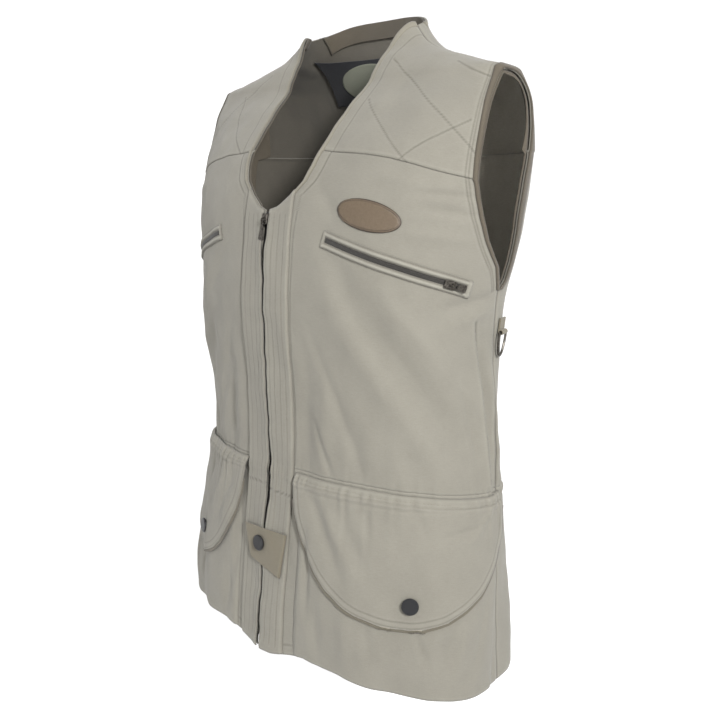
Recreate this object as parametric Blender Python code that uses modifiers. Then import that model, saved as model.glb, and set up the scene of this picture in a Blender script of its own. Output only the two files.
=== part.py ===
"""Hunting vest, worn shape with no wearer, sleeveless, V neck, full front zip.

Metres, +Z up. The origin is the middle of the neck at the height of the shoulders' neck points.
The front faces -Y and the wearer's left is +X. A place on the cloth is given by its girth, the
length along the level ring from the front middle (positive to the wearer's left), and its height.
"""

import bpy
import bmesh
import numpy as np
from math import cos, pi, radians, sin, sqrt
from mathutils import Matrix, Vector

# Cloth
WALL = 0.0016
THIN_WALL = 0.0010
SEAM = 0.0004            # gap between two pieces at a seam
SIDE_SEAM = 0.0011       # the same at the side seam, whose two edges bend most
STEP_OUT = 0.0022        # inner face of a piece that lies on a panel
STEP_IN = -0.0010        # outer face of a piece that lies inside a panel
STEP_IN_ROUND = -0.0016  # the same where the panel bends tightly
FRONT_POWER = 2.3
BACK_POWER = 2.6

# Main levels
NECK_BACK_TOP = 0.016
NECK_HALF_WIDTH = 0.080
SHOULDER_HALF_WIDTH = 0.208
YOKE_BACK_LEVEL = -0.130
V_BOTTOM = -0.187
UNDERARM = -0.257
WAIST = -0.4500
HEM = -0.655

# Level rings of the worn garment
# height, half width, front depth, back depth, middle
SECTIONS = (
    (0.0300, 0.068, 0.022, 0.036, 0.010),
    (0.0150, 0.0745, 0.022, 0.038, 0.010),
    (0.0000, 0.080, 0.022, 0.041, 0.010),
    (-0.0150, 0.093, 0.024, 0.046, 0.008),
    (-0.0280, 0.112, 0.025, 0.053, 0.005),
    (-0.0420, 0.156, 0.026, 0.064, -0.002),
    (-0.0570, 0.208, 0.029, 0.073, -0.006),
    (-0.0900, 0.218, 0.058, 0.083, -0.004),
    (-0.1400, 0.217, 0.099, 0.090, 0.000),
    (-0.2000, 0.212, 0.117, 0.087, 0.000),
    (-0.2800, 0.198, 0.122, 0.071, 0.000),
    (-0.3700, 0.191, 0.1145, 0.083, 0.000),
    (-0.4500, 0.195, 0.111, 0.094, 0.000),
    (-0.5400, 0.204, 0.117, 0.103, 0.000),
    (-0.6550, 0.214, 0.121, 0.107, 0.000),
    (-0.7000, 0.216, 0.121, 0.107, 0.000),
)

# Inner edge of the front, beside the zip and then along the neckline
# height, girth
FRONT_INNER = (
    (-0.700, 0.0055),
    (-0.188, 0.0055),
    (-0.185, 0.0150),
    (-0.174, 0.0300),
    (-0.160, 0.0440),
    (-0.145, 0.0500),
    (-0.129, 0.0535),
)

# Side seam, then the front edge of the armhole
# height, girth
FRONT_OUTER = (
    (-0.700, 0.2990),
    (-0.660, 0.2970),
    (-0.463, 0.2790),
    (-0.390, 0.2700),
    (-0.300, 0.2680),
    (-0.257, 0.2680),
    (-0.235, 0.2627),
    (-0.2245, 0.2550),
    (-0.2105, 0.2470),
    (-0.192, 0.2395),
    (-0.178, 0.2340),
    (-0.157, 0.2260),
    (-0.120, 0.2160),
)

# Back edge of the armhole
# height, girth
BACK_ARMHOLE = (
    (-0.257, 0.2680),
    (-0.248, 0.2770),
    (-0.232, 0.2830),
    (-0.200, 0.2870),
    (-0.160, 0.2860),
    (-0.130, 0.2830),
)

# Front yoke seam
# girth, height
YOKE_SEAM = (
    (0.050, -0.1295),
    (0.100, -0.1335),
    (0.140, -0.1385),
    (0.165, -0.1440),
    (0.190, -0.1500),
    (0.226, -0.1570),
)

# Waist seam
# girth, height
WAIST_SEAM = (
    (0.000, -0.4500),
    (0.100, -0.4520),
    (0.140, -0.4530),
    (0.185, -0.4555),
    (0.210, -0.4580),
    (0.252, -0.4625),
    (0.500, -0.4600),
)

# Hem
# girth, height
HEM_LINE = (
    (0.000, -0.6580),
    (0.022, -0.6572),
    (0.045, -0.6525),
    (0.065, -0.6490),
    (0.114, -0.6510),
    (0.153, -0.6560),
    (0.188, -0.6595),
    (0.243, -0.6645),
    (0.285, -0.6636),
    (0.340, -0.6600),
    (0.550, -0.6620),
)

# How far the zip and the cloth beside it are pulled to the wearer's left
# height, shift
ZIP_SHIFT = (
    (-0.700, 0.0000),
    (-0.620, 0.0010),
    (-0.545, 0.0040),
    (-0.470, 0.0055),
    (-0.340, 0.0070),
    (-0.250, 0.0070),
    (-0.190, 0.0060),
    (-0.150, 0.0020),
    (-0.129, 0.0000),
)
SHIFT_REACH = 0.14

# Pocket flap, a wide D
# height, inner girth, outer girth
FLAP_OUTLINE = (
    (-0.4500, 0.0400, 0.2800),
    (-0.4640, 0.0415, 0.2805),
    (-0.4780, 0.0435, 0.2815),
    (-0.4945, 0.0464, 0.2825),
    (-0.5086, 0.0530, 0.2822),
    (-0.5307, 0.0665, 0.2730),
    (-0.5450, 0.0800, 0.2620),
    (-0.5600, 0.0960, 0.2480),
    (-0.5725, 0.1150, 0.2290),
    (-0.5790, 0.1300, 0.2180),
    (-0.5860, 0.1560, 0.1960),
)

# Main creases and folds, the same names on each side; height is out of the cloth
# start girth, start height, end girth, end height, half width, rise
CREASES_LEFT = (
    (0.090, -0.224, 0.243, -0.446, 0.014, -0.0042),
    (0.078, -0.250, 0.215, -0.452, 0.017, 0.0034),
    (0.120, -0.232, 0.236, -0.380, 0.015, 0.0020),
    (0.058, -0.330, 0.052, -0.449, 0.010, -0.0030),
    (0.084, -0.350, 0.078, -0.450, 0.011, 0.0026),
    (0.118, -0.400, 0.116, -0.452, 0.009, -0.0022),
    (0.155, -0.405, 0.162, -0.453, 0.010, 0.0020),
    (0.246, -0.307, 0.277, -0.472, 0.007, -0.0040),
    (0.2575, -0.320, 0.287, -0.474, 0.008, 0.0036),
    (0.219, -0.588, 0.232, -0.640, 0.010, -0.0030),
)
CREASES_RIGHT = (
    (0.152, -0.400, 0.150, -0.610, 0.055, -0.0085),
    (0.080, -0.250, 0.178, -0.440, 0.016, -0.0036),
    (0.100, -0.245, 0.215, -0.420, 0.018, 0.0026),
    (0.052, -0.350, 0.056, -0.449, 0.010, 0.0028),
    (0.070, -0.340, 0.074, -0.450, 0.009, -0.0030),
    (0.095, -0.380, 0.100, -0.452, 0.010, 0.0024),
    (0.130, -0.395, 0.134, -0.453, 0.009, -0.0024),
    (0.246, -0.312, 0.277, -0.472, 0.007, -0.0040),
    (0.2575, -0.325, 0.287, -0.474, 0.008, 0.0036),
    (0.190, -0.590, 0.205, -0.645, 0.010, -0.0028),
)
# the same columns on the back, with the girth measured from the back middle
CREASES_BACK = (
    (-0.120, -0.200, -0.055, -0.440, 0.018, -0.0036),
    (-0.085, -0.190, -0.028, -0.430, 0.018, 0.0028),
    (0.115, -0.215, 0.050, -0.440, 0.018, -0.0034),
    (0.080, -0.185, 0.020, -0.435, 0.018, 0.0028),
    (-0.150, -0.330, -0.135, -0.452, 0.012, 0.0030),
    (0.155, -0.340, 0.140, -0.452, 0.012, 0.0030),
    (-0.100, -0.480, -0.118, -0.640, 0.016, 0.0034),
    (0.090, -0.480, 0.112, -0.640, 0.016, 0.0034),
    (0.000, -0.470, 0.004, -0.650, 0.020, -0.0030),
)

# colour, roughness, metallic
LOOKS = {
    "twill": ((0.36, 0.345, 0.29, 1), 0.85, 0.0),
    "facing": ((0.13, 0.115, 0.095, 1), 0.9, 0.0),
    "label": ((0.008, 0.010, 0.022, 1), 0.8, 0.0),
    "leather": ((0.24, 0.15, 0.075, 1), 0.6, 0.0),
    "coil": ((0.015, 0.014, 0.013, 1), 0.5, 0.0),
    "webbing": ((0.16, 0.15, 0.12, 1), 0.9, 0.0),
    "snap": ((0.010, 0.012, 0.022, 1), 0.4, 0.3),
    "metal": ((0.10, 0.095, 0.085, 1), 0.35, 0.9),
}

TABLE = np.array(SECTIONS)
ROW_STEP = 0.0025
COLUMNS = 401


def section(height, k):
    """One column of the section table, as a smooth curve with no overshoot."""
    x = -TABLE[:, 0]
    y = TABLE[:, k]
    h = np.diff(x)
    slope = np.diff(y) / h
    tangent = np.zeros(len(x))
    w1 = 2 * h[1:] + h[:-1]
    w2 = h[1:] + 2 * h[:-1]
    same = slope[:-1] * slope[1:] > 0
    with np.errstate(divide="ignore", invalid="ignore"):
        tangent[1:-1] = np.where(same, (w1 + w2) / (w1 / slope[:-1] + w2 / slope[1:]), 0)
    tangent[0] = slope[0]
    tangent[-1] = slope[-1]
    q = np.clip(-np.asarray(height, float), x[0], x[-1])
    i = np.clip(np.searchsorted(x, q, side="right") - 1, 0, len(h) - 1)
    t = (q - x[i]) / h[i]
    start = (1 + 2 * t) * (1 - t) ** 2 * y[i] + t * (1 - t) ** 2 * h[i] * tangent[i]
    return start + t * t * (3 - 2 * t) * y[i + 1] + t * t * (t - 1) * h[i] * tangent[i + 1]


def level_rings():
    """Points at even steps of girth on rings at even steps of height, and each half girth."""
    heights = np.arange(TABLE[-1, 0], TABLE[0, 0] + ROW_STEP / 2, ROW_STEP)
    angle = np.linspace(-pi, pi, 721)
    rings = []
    halves = []
    for z in heights:
        half_width, front, back, middle = (float(section(z, k)) for k in (1, 2, 3, 4))
        facing = np.cos(angle) > 0
        depth = np.where(facing, front, back)
        power = np.where(facing, FRONT_POWER, BACK_POWER)
        across = np.abs(np.sin(angle) / half_width) ** power
        radius = (across + np.abs(np.cos(angle) / depth) ** power) ** (-1 / power)
        x = radius * np.sin(angle)
        y = middle - radius * np.cos(angle)
        length = np.concatenate([[0], np.cumsum(np.hypot(np.diff(x), np.diff(y)))])
        length -= length[360]
        halves.append(length[-1])
        even = np.linspace(length[0], length[-1], COLUMNS)
        ring_x = np.interp(even, length, x)
        ring_y = np.interp(even, length, y)
        rings.append(np.stack([ring_x, ring_y, np.full(COLUMNS, z)], -1))
    return heights, np.array(rings), np.array(halves)


HEIGHTS, RINGS, HALVES = level_rings()


def half_girth(z):
    return np.interp(z, HEIGHTS, HALVES)


def on_ring(g, z):
    """The point of the form at a girth and a height."""
    row = np.clip((np.asarray(z, float) - HEIGHTS[0]) / ROW_STEP, 0, len(HEIGHTS) - 1.001)
    share = np.asarray(g, float) / half_girth(z)
    col = np.clip((share + 1) / 2 * (COLUMNS - 1), 0, COLUMNS - 1.001)
    i = row.astype(int)
    j = col.astype(int)
    r = (row - i)[..., None]
    c = (col - j)[..., None]
    low = RINGS[i, j] * (1 - c) + RINGS[i, j + 1] * c
    high = RINGS[i + 1, j] * (1 - c) + RINGS[i + 1, j + 1] * c
    return low * (1 - r) + high * r


def depth_at(x, z, behind):
    """The form's y at a width and height, on the front or the back half."""
    depth = section(z, 3 if behind else 2)
    power = BACK_POWER if behind else FRONT_POWER
    share = np.clip(np.abs(x) / section(z, 1), 0, 1)
    reach = depth * (1 - share ** power) ** (1 / power)
    return section(z, 4) + (reach if behind else -reach)


def ridge_height(x):
    """Height of the shoulder's top line at a width."""
    z = np.linspace(0, -0.06, 241)
    return np.interp(np.abs(x), section(z, 1), z)


def read(table, value, column=1):
    rows = np.array(table)
    order = np.argsort(rows[:, 0])
    return np.interp(value, rows[order, 0], rows[order, column])


def crease(table, g, z):
    """Rise of the cloth where soft troughs and ridges run across it."""
    rise = np.zeros(np.broadcast(g, z).shape)
    for g0, z0, g1, z1, width, height in table:
        length = (g1 - g0) ** 2 + (z1 - z0) ** 2
        along = np.clip(((g - g0) * (g1 - g0) + (z - z0) * (z1 - z0)) / length, 0, 1)
        away = (g - g0 - along * (g1 - g0)) ** 2 + (z - z0 - along * (z1 - z0)) ** 2
        rise = rise + height * (0.3 + 0.7 * np.sin(pi * along)) * np.exp(-away / width ** 2)
    return rise


def hem_wave(g, z):
    """Slow waves that grow towards the hem."""
    share = np.clip((WAIST - z) / (WAIST - HEM), 0, 1) ** 1.5
    return share * (0.0022 * np.sin(g * 58 + 0.6) + 0.0012 * np.sin(g * 101))


def folds(g, z):
    """All the folds at a girth and height; a negative girth is the wearer's right."""
    half = half_girth(z)
    left = np.where(g >= 0, crease(CREASES_LEFT, g, z), crease(CREASES_RIGHT, -g, z))
    behind = np.where(g >= 0, half - g, -half - g)
    return left + crease(CREASES_BACK, behind, z) + hem_wave(g, z)


# Surfaces: each takes u and v from 0 to 1, and gives points with no thickness

def pulled(g, z):
    """The girth after the pull of the front to the wearer's left."""
    near = np.clip(1 - np.abs(g) / SHIFT_REACH, 0, 1)
    return g + read(ZIP_SHIFT, z) * near * near * (3 - 2 * near)


def sheet_point(g, z):
    return on_ring(pulled(g, z), z), folds(g, z)


def front_top(g):
    return read(YOKE_SEAM, np.abs(g))


def waist_line(g):
    return read(WAIST_SEAM, np.abs(g))


def hem_line(g):
    return read(HEM_LINE, np.abs(g))


def between(low, high, share):
    return low + (high - low) * share


def front_surface(u, v, side):
    """From the zip to the side seam, and from the waist seam to the yoke seam."""
    bottom = WAIST
    g = between(read(FRONT_INNER, bottom), read(FRONT_OUTER, bottom), u)
    for _ in range(6):
        z = between(waist_line(g) + SEAM / 2, front_top(g) - SEAM / 2, v)
        g = between(read(FRONT_INNER, z), read(FRONT_OUTER, z) - SEAM / 2, u)
    return sheet_point(side * g, z)


def yoke_point(x_front, z_front, x_top, z_top, t, behind):
    """A line up the yoke to the shoulder's top line; t is 0 at the seam and 1 at the top."""
    left = 1 - np.clip(t, 0, 1)
    z = z_top - (z_top - z_front) * left ** FRONT_POWER
    x = x_top + (x_front - x_top) * left ** 1.3
    return np.stack([x, depth_at(x, z, behind), z], -1)


def yoke_surface(u, v, side):
    g = between(read(FRONT_INNER, -0.129), read(FRONT_OUTER, -0.157), u)
    z_front = front_top(g) + SEAM / 2
    x_front = on_ring(g, z_front)[..., 0]
    x_top = between(NECK_HALF_WIDTH, SHOULDER_HALF_WIDTH, u)
    points = yoke_point(x_front, z_front, x_top, ridge_height(x_top), v, False)
    points[..., 0] *= side
    points[..., 1] -= SEAM / 2
    return points, np.zeros(u.shape)


def yoke_back_surface(u, v):
    """The whole back yoke: u runs from the right armhole to the left, v from its seam up."""
    reach = 2 * u - 1
    x_top = reach * SHOULDER_HALF_WIDTH
    inside = np.clip(1 - np.abs(x_top) / NECK_HALF_WIDTH, 0, 1)
    z_top = ridge_height(x_top) + NECK_BACK_TOP * (1 - (1 - inside) ** 4)
    x_low = reach * float(on_ring(np.array(read(BACK_ARMHOLE, -0.13)), np.array(-0.13))[0])
    power = np.where(inside > 0, BACK_POWER - (BACK_POWER - 1.1) * np.sqrt(inside), BACK_POWER)
    left = 1 - v
    z = z_top - (z_top - YOKE_BACK_LEVEL - SEAM / 2) * left ** power
    x = x_top + (x_low - x_top) * left ** power
    return np.stack([x, depth_at(x, z, True) + SEAM / 2, z], -1), np.zeros(u.shape)


def back_edge(z):
    """Girth of the back's outer edge: the side seam, then the armhole."""
    return np.where(z > UNDERARM, read(BACK_ARMHOLE, z), read(FRONT_OUTER, z))


def around_back(share, edge, z):
    """Girth at a share from -1 (right edge) to 1 (left edge) across the back middle."""
    half = half_girth(z)
    reach = half - edge
    away = share * reach
    return np.where(away >= 0, half - away, -half - away)


def back_surface(u, v):
    share = 2 * u - 1
    g = 0.39 + 0 * u
    for _ in range(4):
        z = between(waist_line(g) + SEAM / 2, YOKE_BACK_LEVEL - SEAM / 2, v)
        g = np.abs(around_back(share, back_edge(z) + SIDE_SEAM - SEAM / 2, z))
    return sheet_point(around_back(share, back_edge(z) + SIDE_SEAM - SEAM / 2, z), z)


def skirt_front_surface(u, v, side):
    g = between(0.0055, 0.28, u)
    for _ in range(4):
        z = between(hem_line(g), waist_line(g) - SEAM / 2, v)
        g = between(0.0055, read(FRONT_OUTER, z) - SEAM / 2, u)
    return sheet_point(side * g, z)


def skirt_back_surface(u, v):
    share = 2 * u - 1
    g = 0.39 + 0 * u
    for _ in range(4):
        z = between(hem_line(g), waist_line(g) - SEAM / 2, v)
        g = np.abs(around_back(share, read(FRONT_OUTER, z) + SIDE_SEAM - SEAM / 2, z))
    return sheet_point(around_back(share, read(FRONT_OUTER, z) + SIDE_SEAM - SEAM / 2, z), z)


PLACKET_INNER = 0.0045
PLACKET_OUTER = 0.0370
PLACKET_STEP = 0.0027


def placket_surface(u, v, side):
    """A strip beside the zip, cut at the top along the neckline."""
    g = between(PLACKET_INNER, PLACKET_OUTER, u)
    top = np.interp(g, [row[1] for row in FRONT_INNER[1:]], [row[0] for row in FRONT_INNER[1:]])
    z = between(hem_line(g) + 0.001, np.minimum(top, V_BOTTOM + 0.6 * g), v)
    return sheet_point(side * g, z)


POCKET_TOP = -0.480
POCKET_INNER = 0.050
POCKET_OUTER = 0.284
POCKET_SWELL = 0.0040
POCKET_STEP = 0.0027
RIGHT_START = 0.0095     # the right pocket and flap lie closer to the zip than the left ones
RIGHT_SHARE = 0.70


def on_side(g, side):
    """The girth on a side's pocket of a place given on the left pocket."""
    return g if side > 0 else RIGHT_START + RIGHT_SHARE * g


def pocket_rise(g, z):
    """How far the pocket stands off the skirt, at a girth given on the left pocket."""
    across = np.clip((g - POCKET_INNER) / (POCKET_OUTER - POCKET_INNER), 0, 1)
    up = np.clip((z - HEM) / (POCKET_TOP - HEM), 0, 1)
    return POCKET_SWELL * (1 - np.abs(2 * across - 1) ** 4) * np.sin(pi * up)


def pocket_surface(u, v, side):
    g = between(POCKET_INNER, POCKET_OUTER, u)
    z = between(hem_line(on_side(g, side)) + 0.001, POCKET_TOP, v)
    points, rise = sheet_point(side * on_side(g, side), z)
    return points, rise + pocket_rise(g, z)


FLAP_STEP = 0.0044
FLAP_DOWN = 0.0015       # from the waist seam to the top of the flap
FLAP_END = -0.5860
FLAP_RAMP = 0.0120       # height over which the flap comes out over the pocket


def flap_surface(u, v, side):
    g = 0.16 + 0 * u
    for _ in range(6):
        top = waist_line(on_side(g, side)) - FLAP_DOWN
        z = between(FLAP_END, top, v)
        g = between(read(FLAP_OUTLINE, z, 1), read(FLAP_OUTLINE, z, 2), u)
    points, rise = sheet_point(side * on_side(g, side), z)
    over = np.clip((top - z) / FLAP_RAMP, 0, 1)
    return points, rise + pocket_rise(g, np.minimum(z, POCKET_TOP)) + FLAP_STEP * over


# girth and height of the tab's corners: lower right, lower left, upper right, upper left
TAB_CORNERS = ((-0.0205, -0.5580), (0.0310, -0.5690), (-0.0316, -0.5235), (0.0373, -0.5205))
TAB_STEP = 0.0062


def tab_surface(u, v):
    g, z = (
        between(between(TAB_CORNERS[0][k], TAB_CORNERS[1][k], u), between(TAB_CORNERS[2][k], TAB_CORNERS[3][k], u), v)
        for k in (0, 1)
    )
    return on_ring(pulled(g, z), z), np.zeros(u.shape)


# the chest pocket's opening, from its inner end to its outer end
CHEST_START = (0.0800, -0.2135)
CHEST_END = (0.2310, -0.2560)
CHEST_TALL = 0.0170
CHEST_SLOT = 0.0050


def chest_place(along, up):
    """Girth and height at a share along the chest opening and a distance up from its line."""
    length = sqrt((CHEST_END[0] - CHEST_START[0]) ** 2 + (CHEST_END[1] - CHEST_START[1]) ** 2)
    run = (CHEST_END[0] - CHEST_START[0]) / length
    fall = (CHEST_END[1] - CHEST_START[1]) / length
    g = CHEST_START[0] + along * run * length - up * fall
    z = CHEST_START[1] + along * fall * length + up * run
    return g, z


def chest_surface(u, v, side, tall, start=0.0, end=1.0):
    g, z = chest_place(between(start, end, u), between(-tall / 2, tall / 2, v))
    return sheet_point(side * g, z)


PATCH_PLACE = (0.1295, -0.1905)
PATCH_LENGTH = 0.070
PATCH_HEIGHT = 0.028
PATCH_TILT = radians(-11)


def patch_surface(u, v):
    """An oval: a square grid pressed into an ellipse."""
    a = 2 * u - 1
    b = 2 * v - 1
    along = a * np.sqrt(1 - b * b / 2) * PATCH_LENGTH / 2
    up = b * np.sqrt(1 - a * a / 2) * PATCH_HEIGHT / 2
    g = PATCH_PLACE[0] + along * cos(PATCH_TILT) - up * sin(PATCH_TILT)
    z = PATCH_PLACE[1] + along * sin(PATCH_TILT) + up * cos(PATCH_TILT)
    return sheet_point(g, z)


def strip(rows, u, v, *parts):
    """Surfaces end to end, each with its own number of rows."""
    points = np.zeros(u.shape + (3,))
    rise = np.zeros(u.shape)
    row = v * sum(rows)
    start = 0
    for part, count in zip(parts, rows):
        here = (row > start - 0.001) & (row < start + count + 0.001)
        share = np.clip((row - start) / count, 0, 1)
        start += count
        p, r = part(u, share)
        points[here] = p[here]
        rise[here] = r[here]
    return points, rise


BINDING_WIDTH = 0.009
ARMHOLE_WIDTH = 0.012
BACK_FACING_TALL = 0.024
YOKE_ROWS = 9
YOKE_BACK_ROWS = 8
BINDING_ROWS = (8, YOKE_ROWS)
ARMHOLE_ROWS = (9, YOKE_ROWS, YOKE_BACK_ROWS, 8)


def neck_front_part(u, v, side):
    z = between(-0.1845, -0.1300, v)
    return sheet_point(side * (read(FRONT_INNER, z) + BINDING_WIDTH * u), z)


def neck_yoke_part(u, v, side):
    return yoke_surface(u * BINDING_WIDTH / 0.15, v, side)


def neck_binding_surface(u, v, side):
    return strip(
        BINDING_ROWS, u, v,
        lambda a, b: neck_front_part(a, b, side),
        lambda a, b: neck_yoke_part(a, b, side),
    )


def neck_facing_surface(u, v):
    """The band inside the back of the neck."""
    edge = 0.5 * NECK_HALF_WIDTH * 10 / 12 / SHOULDER_HALF_WIDTH
    across = between(0.5 - edge, 0.5 + edge, u)
    inside = np.clip(1 - np.abs(2 * across - 1) * SHOULDER_HALF_WIDTH / NECK_HALF_WIDTH, 0, 1)
    tall = BACK_FACING_TALL / (NECK_BACK_TOP - YOKE_BACK_LEVEL) * (0.55 + 0.45 * np.sqrt(inside))
    return yoke_back_surface(across, 1 - tall * (1 - v))


LABEL_MIDDLE = -0.031
LABEL_HALF = 0.065
LABEL_TOP = -0.021
LABEL_END = -0.068


def label_surface(u, v):
    x = LABEL_MIDDLE + between(-LABEL_HALF, LABEL_HALF, u)
    z = between(LABEL_END, LABEL_TOP, v)
    return np.stack([x, depth_at(x, z, True), z], -1), np.zeros(u.shape)


def arm_front_part(u, v, side):
    z = between(UNDERARM, -0.1575, v ** 1.5)
    return sheet_point(side * (read(FRONT_OUTER, z) - SEAM / 2 - ARMHOLE_WIDTH * u), z)


def arm_yoke_part(u, v, side):
    return yoke_surface(1 - u * ARMHOLE_WIDTH / 0.15, v, side)


def arm_yoke_back_part(u, v, side):
    share = 1 - u * ARMHOLE_WIDTH / 0.36
    return yoke_back_surface(share if side > 0 else 1 - share, 1 - v)


def arm_back_part(u, v, side):
    z = between(-0.1305, UNDERARM, 1 - (1 - v) ** 1.5)
    return sheet_point(side * (read(BACK_ARMHOLE, z) + SEAM / 2 + ARMHOLE_WIDTH * u), z)


def armhole_surface(u, v, side):
    return strip(
        ARMHOLE_ROWS, u, v,
        lambda a, b: arm_front_part(a, b, side),
        lambda a, b: arm_yoke_part(a, b, side),
        lambda a, b: arm_yoke_back_part(a, b, side),
        lambda a, b: arm_back_part(a, b, side),
    )


# Building

def lifted(surface, u, v, lift):
    """Points of a surface moved out along its normal."""
    step = 0.004
    points, rise = surface(u, v)
    right = surface(np.clip(u + step, 0, 1), v)[0] - surface(np.clip(u - step, 0, 1), v)[0]
    up = surface(u, np.clip(v + step, 0, 1))[0] - surface(u, np.clip(v - step, 0, 1))[0]
    normal = np.cross(right, up)
    normal /= np.linalg.norm(normal, axis=-1)[..., None]
    outward = points.copy()
    outward[..., 2] = np.where(points[..., 2] > -0.07, 0.25, 0)
    flip = np.sign(np.sum(normal * outward, -1))
    normal *= np.where(flip == 0, 1, flip)[..., None]
    return points + normal * (rise + lift)[..., None], normal


def fresh_material(slot):
    colour, roughness, metallic = LOOKS[slot]
    material = bpy.data.materials.new(slot)
    material.use_nodes = True
    shader = material.node_tree.nodes["Principled BSDF"]
    shader.inputs["Base Color"].default_value = colour
    shader.inputs["Roughness"].default_value = roughness
    shader.inputs["Metallic"].default_value = metallic
    return material


def keep(name, mesh, slot, home):
    body = bpy.data.objects.new(name, mesh)
    mesh.materials.clear()
    mesh.materials.append(MATERIALS[slot])
    home.objects.link(body)
    return body


def cloth(name, surface, columns, rows, lift, wall, slot, home, skip=None, spread=None):
    """A cloth wall: a grid moved onto the surface, then given its thickness outward."""
    mesh = bpy.data.meshes.new(name)
    grid = bmesh.new()
    bmesh.ops.create_grid(grid, x_segments=columns, y_segments=rows, size=0.5)
    if skip:
        gone = [face for face in grid.faces if skip(face.calc_center_median())]
        bmesh.ops.delete(grid, geom=gone, context="FACES")
    u = np.array([vert.co.x + 0.5 for vert in grid.verts])
    v = np.array([vert.co.y + 0.5 for vert in grid.verts])
    if spread:
        u, v = spread(u, v)
    points, normals = lifted(surface, u, v, lift)
    for vert, place in zip(grid.verts, points):
        vert.co = place
    grid.normal_update()
    outward = sum(vert.normal.dot(Vector(n)) for vert, n in zip(grid.verts, normals))
    if outward < 0:
        bmesh.ops.reverse_faces(grid, faces=grid.faces)
    grid.to_mesh(mesh)
    grid.free()
    body = keep(name, mesh, slot, home)
    solid = body.modifiers.new("wall", "SOLIDIFY")
    solid.thickness = wall
    solid.offset = 1
    solid.use_even_offset = True
    mesh.shade_smooth()
    return body


def place_frame(g, z, lift):
    """A frame on the cloth: x against the girth, y down the cloth and z out of it."""
    step = 0.004

    def spot(away, up):
        return sheet_point(np.array(g + away), np.array(z + up))

    middle, rise = spot(0, 0)
    across = Vector(spot(step, 0)[0] - spot(-step, 0)[0])
    down = Vector(spot(0, -step)[0] - spot(0, step)[0])
    across.normalize()
    out = across.cross(-down).normalized()
    across = -across
    down = out.cross(across).normalized()
    frame = Matrix((across, down, out)).transposed().to_4x4()
    frame.translation = Vector(middle) + out * (lift + float(rise))
    return frame


def baked(body):
    """The object's mesh with its modifiers applied, caps welded."""
    graph = bpy.context.evaluated_depsgraph_get()
    mesh = bpy.data.meshes.new_from_object(body.evaluated_get(graph))
    work = bmesh.new()
    work.from_mesh(mesh)
    bmesh.ops.remove_doubles(work, verts=work.verts, dist=0.00001)
    work.to_mesh(mesh)
    work.free()
    return mesh


def outline_curve(name, loops, thickness):
    """A flat outline with its holes, as thick as given."""
    curve = bpy.data.curves.new(name, "CURVE")
    curve.dimensions = "2D"
    curve.fill_mode = "BOTH"
    curve.extrude = thickness / 2
    for loop in loops:
        spline = curve.splines.new("POLY")
        spline.points.add(len(loop) - 1)
        for point, (x, y) in zip(spline.points, loop):
            point.co = (x, y, 0, 1)
        spline.use_cyclic_u = True
    return curve


def arc(x, y, radius, start, end, steps):
    return [
        (x + radius * cos(between(start, end, i / steps)), y + radius * sin(between(start, end, i / steps)))
        for i in range(steps + 1)
    ]


SLIDER_WIDTH = 0.0080
SLIDER_LENGTH = 0.0110
SLIDER_TALL = 0.0026
BRIDGE_RADIUS = 0.00235
BRIDGE_WIRE = 0.00062
BRIDGE_FORWARD = 0.0018
PULL_AXIS = SLIDER_TALL + 0.0014
PULL_WIDTH = 0.0066
PULL_THICK = 0.0010
PULL_BAR = 0.00045
PULL_TILT = radians(8.5)


def make_slider(name, frame, home):
    """The zip's slider, with the small bridge that holds the pull tab."""
    bpy.ops.mesh.primitive_cube_add(size=1)
    base = bpy.context.object
    mesh = base.data
    for vert in mesh.vertices:
        x, y, z = vert.co
        vert.co = Vector((x * SLIDER_WIDTH, y * SLIDER_LENGTH, (z + 0.5) * SLIDER_TALL))
    edge = base.modifiers.new("edge", "BEVEL")
    edge.width = 0.0007
    edge.segments = 1
    bpy.ops.mesh.primitive_torus_add(
        major_segments=14, minor_segments=6, major_radius=BRIDGE_RADIUS, minor_radius=BRIDGE_WIRE,
        rotation=(0, pi / 2, 0), location=(0, BRIDGE_FORWARD, PULL_AXIS),
    )
    bridge = bpy.context.object
    join = base.modifiers.new("bridge", "BOOLEAN")
    join.operation = "UNION"
    join.object = bridge
    mesh = baked(base)
    bpy.data.objects.remove(base)
    bpy.data.objects.remove(bridge)
    slider = keep(name, mesh, "metal", home)
    slider.matrix_world = frame
    return slider


def make_pull(name, frame, length, lean, home):
    """The pull tab, with its slot over the bridge; its origin is on its hinge line."""
    half = PULL_WIDTH / 2
    end = length - half * 0.6
    outer = [(half * 0.55, -PULL_BAR), (half * 0.62, length * 0.35)]
    outer += arc(half * 0.62 - 0.0002, end - 0.002, half * 0.6, radians(-20), radians(90), 6)
    mirrored = [(-x, y) for x, y in reversed(outer)]
    slot = [(0.0016, PULL_BAR), (0.0013, 0.0045), (-0.0013, 0.0045), (-0.0016, PULL_BAR)]
    curve = outline_curve(name, [outer + mirrored, slot], PULL_THICK)
    guide = bpy.data.objects.new("outline", curve)
    home.objects.link(guide)
    mesh = baked(guide)
    bpy.data.objects.remove(guide)
    pull = keep(name, mesh, "metal", home)
    hinge = frame @ Matrix.Translation((0, BRIDGE_FORWARD, PULL_AXIS))
    turn = Matrix.Rotation(lean, 4, "Z") @ Matrix.Rotation(-PULL_TILT, 4, "X")
    pull.matrix_world = hinge @ turn
    return pull


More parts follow.
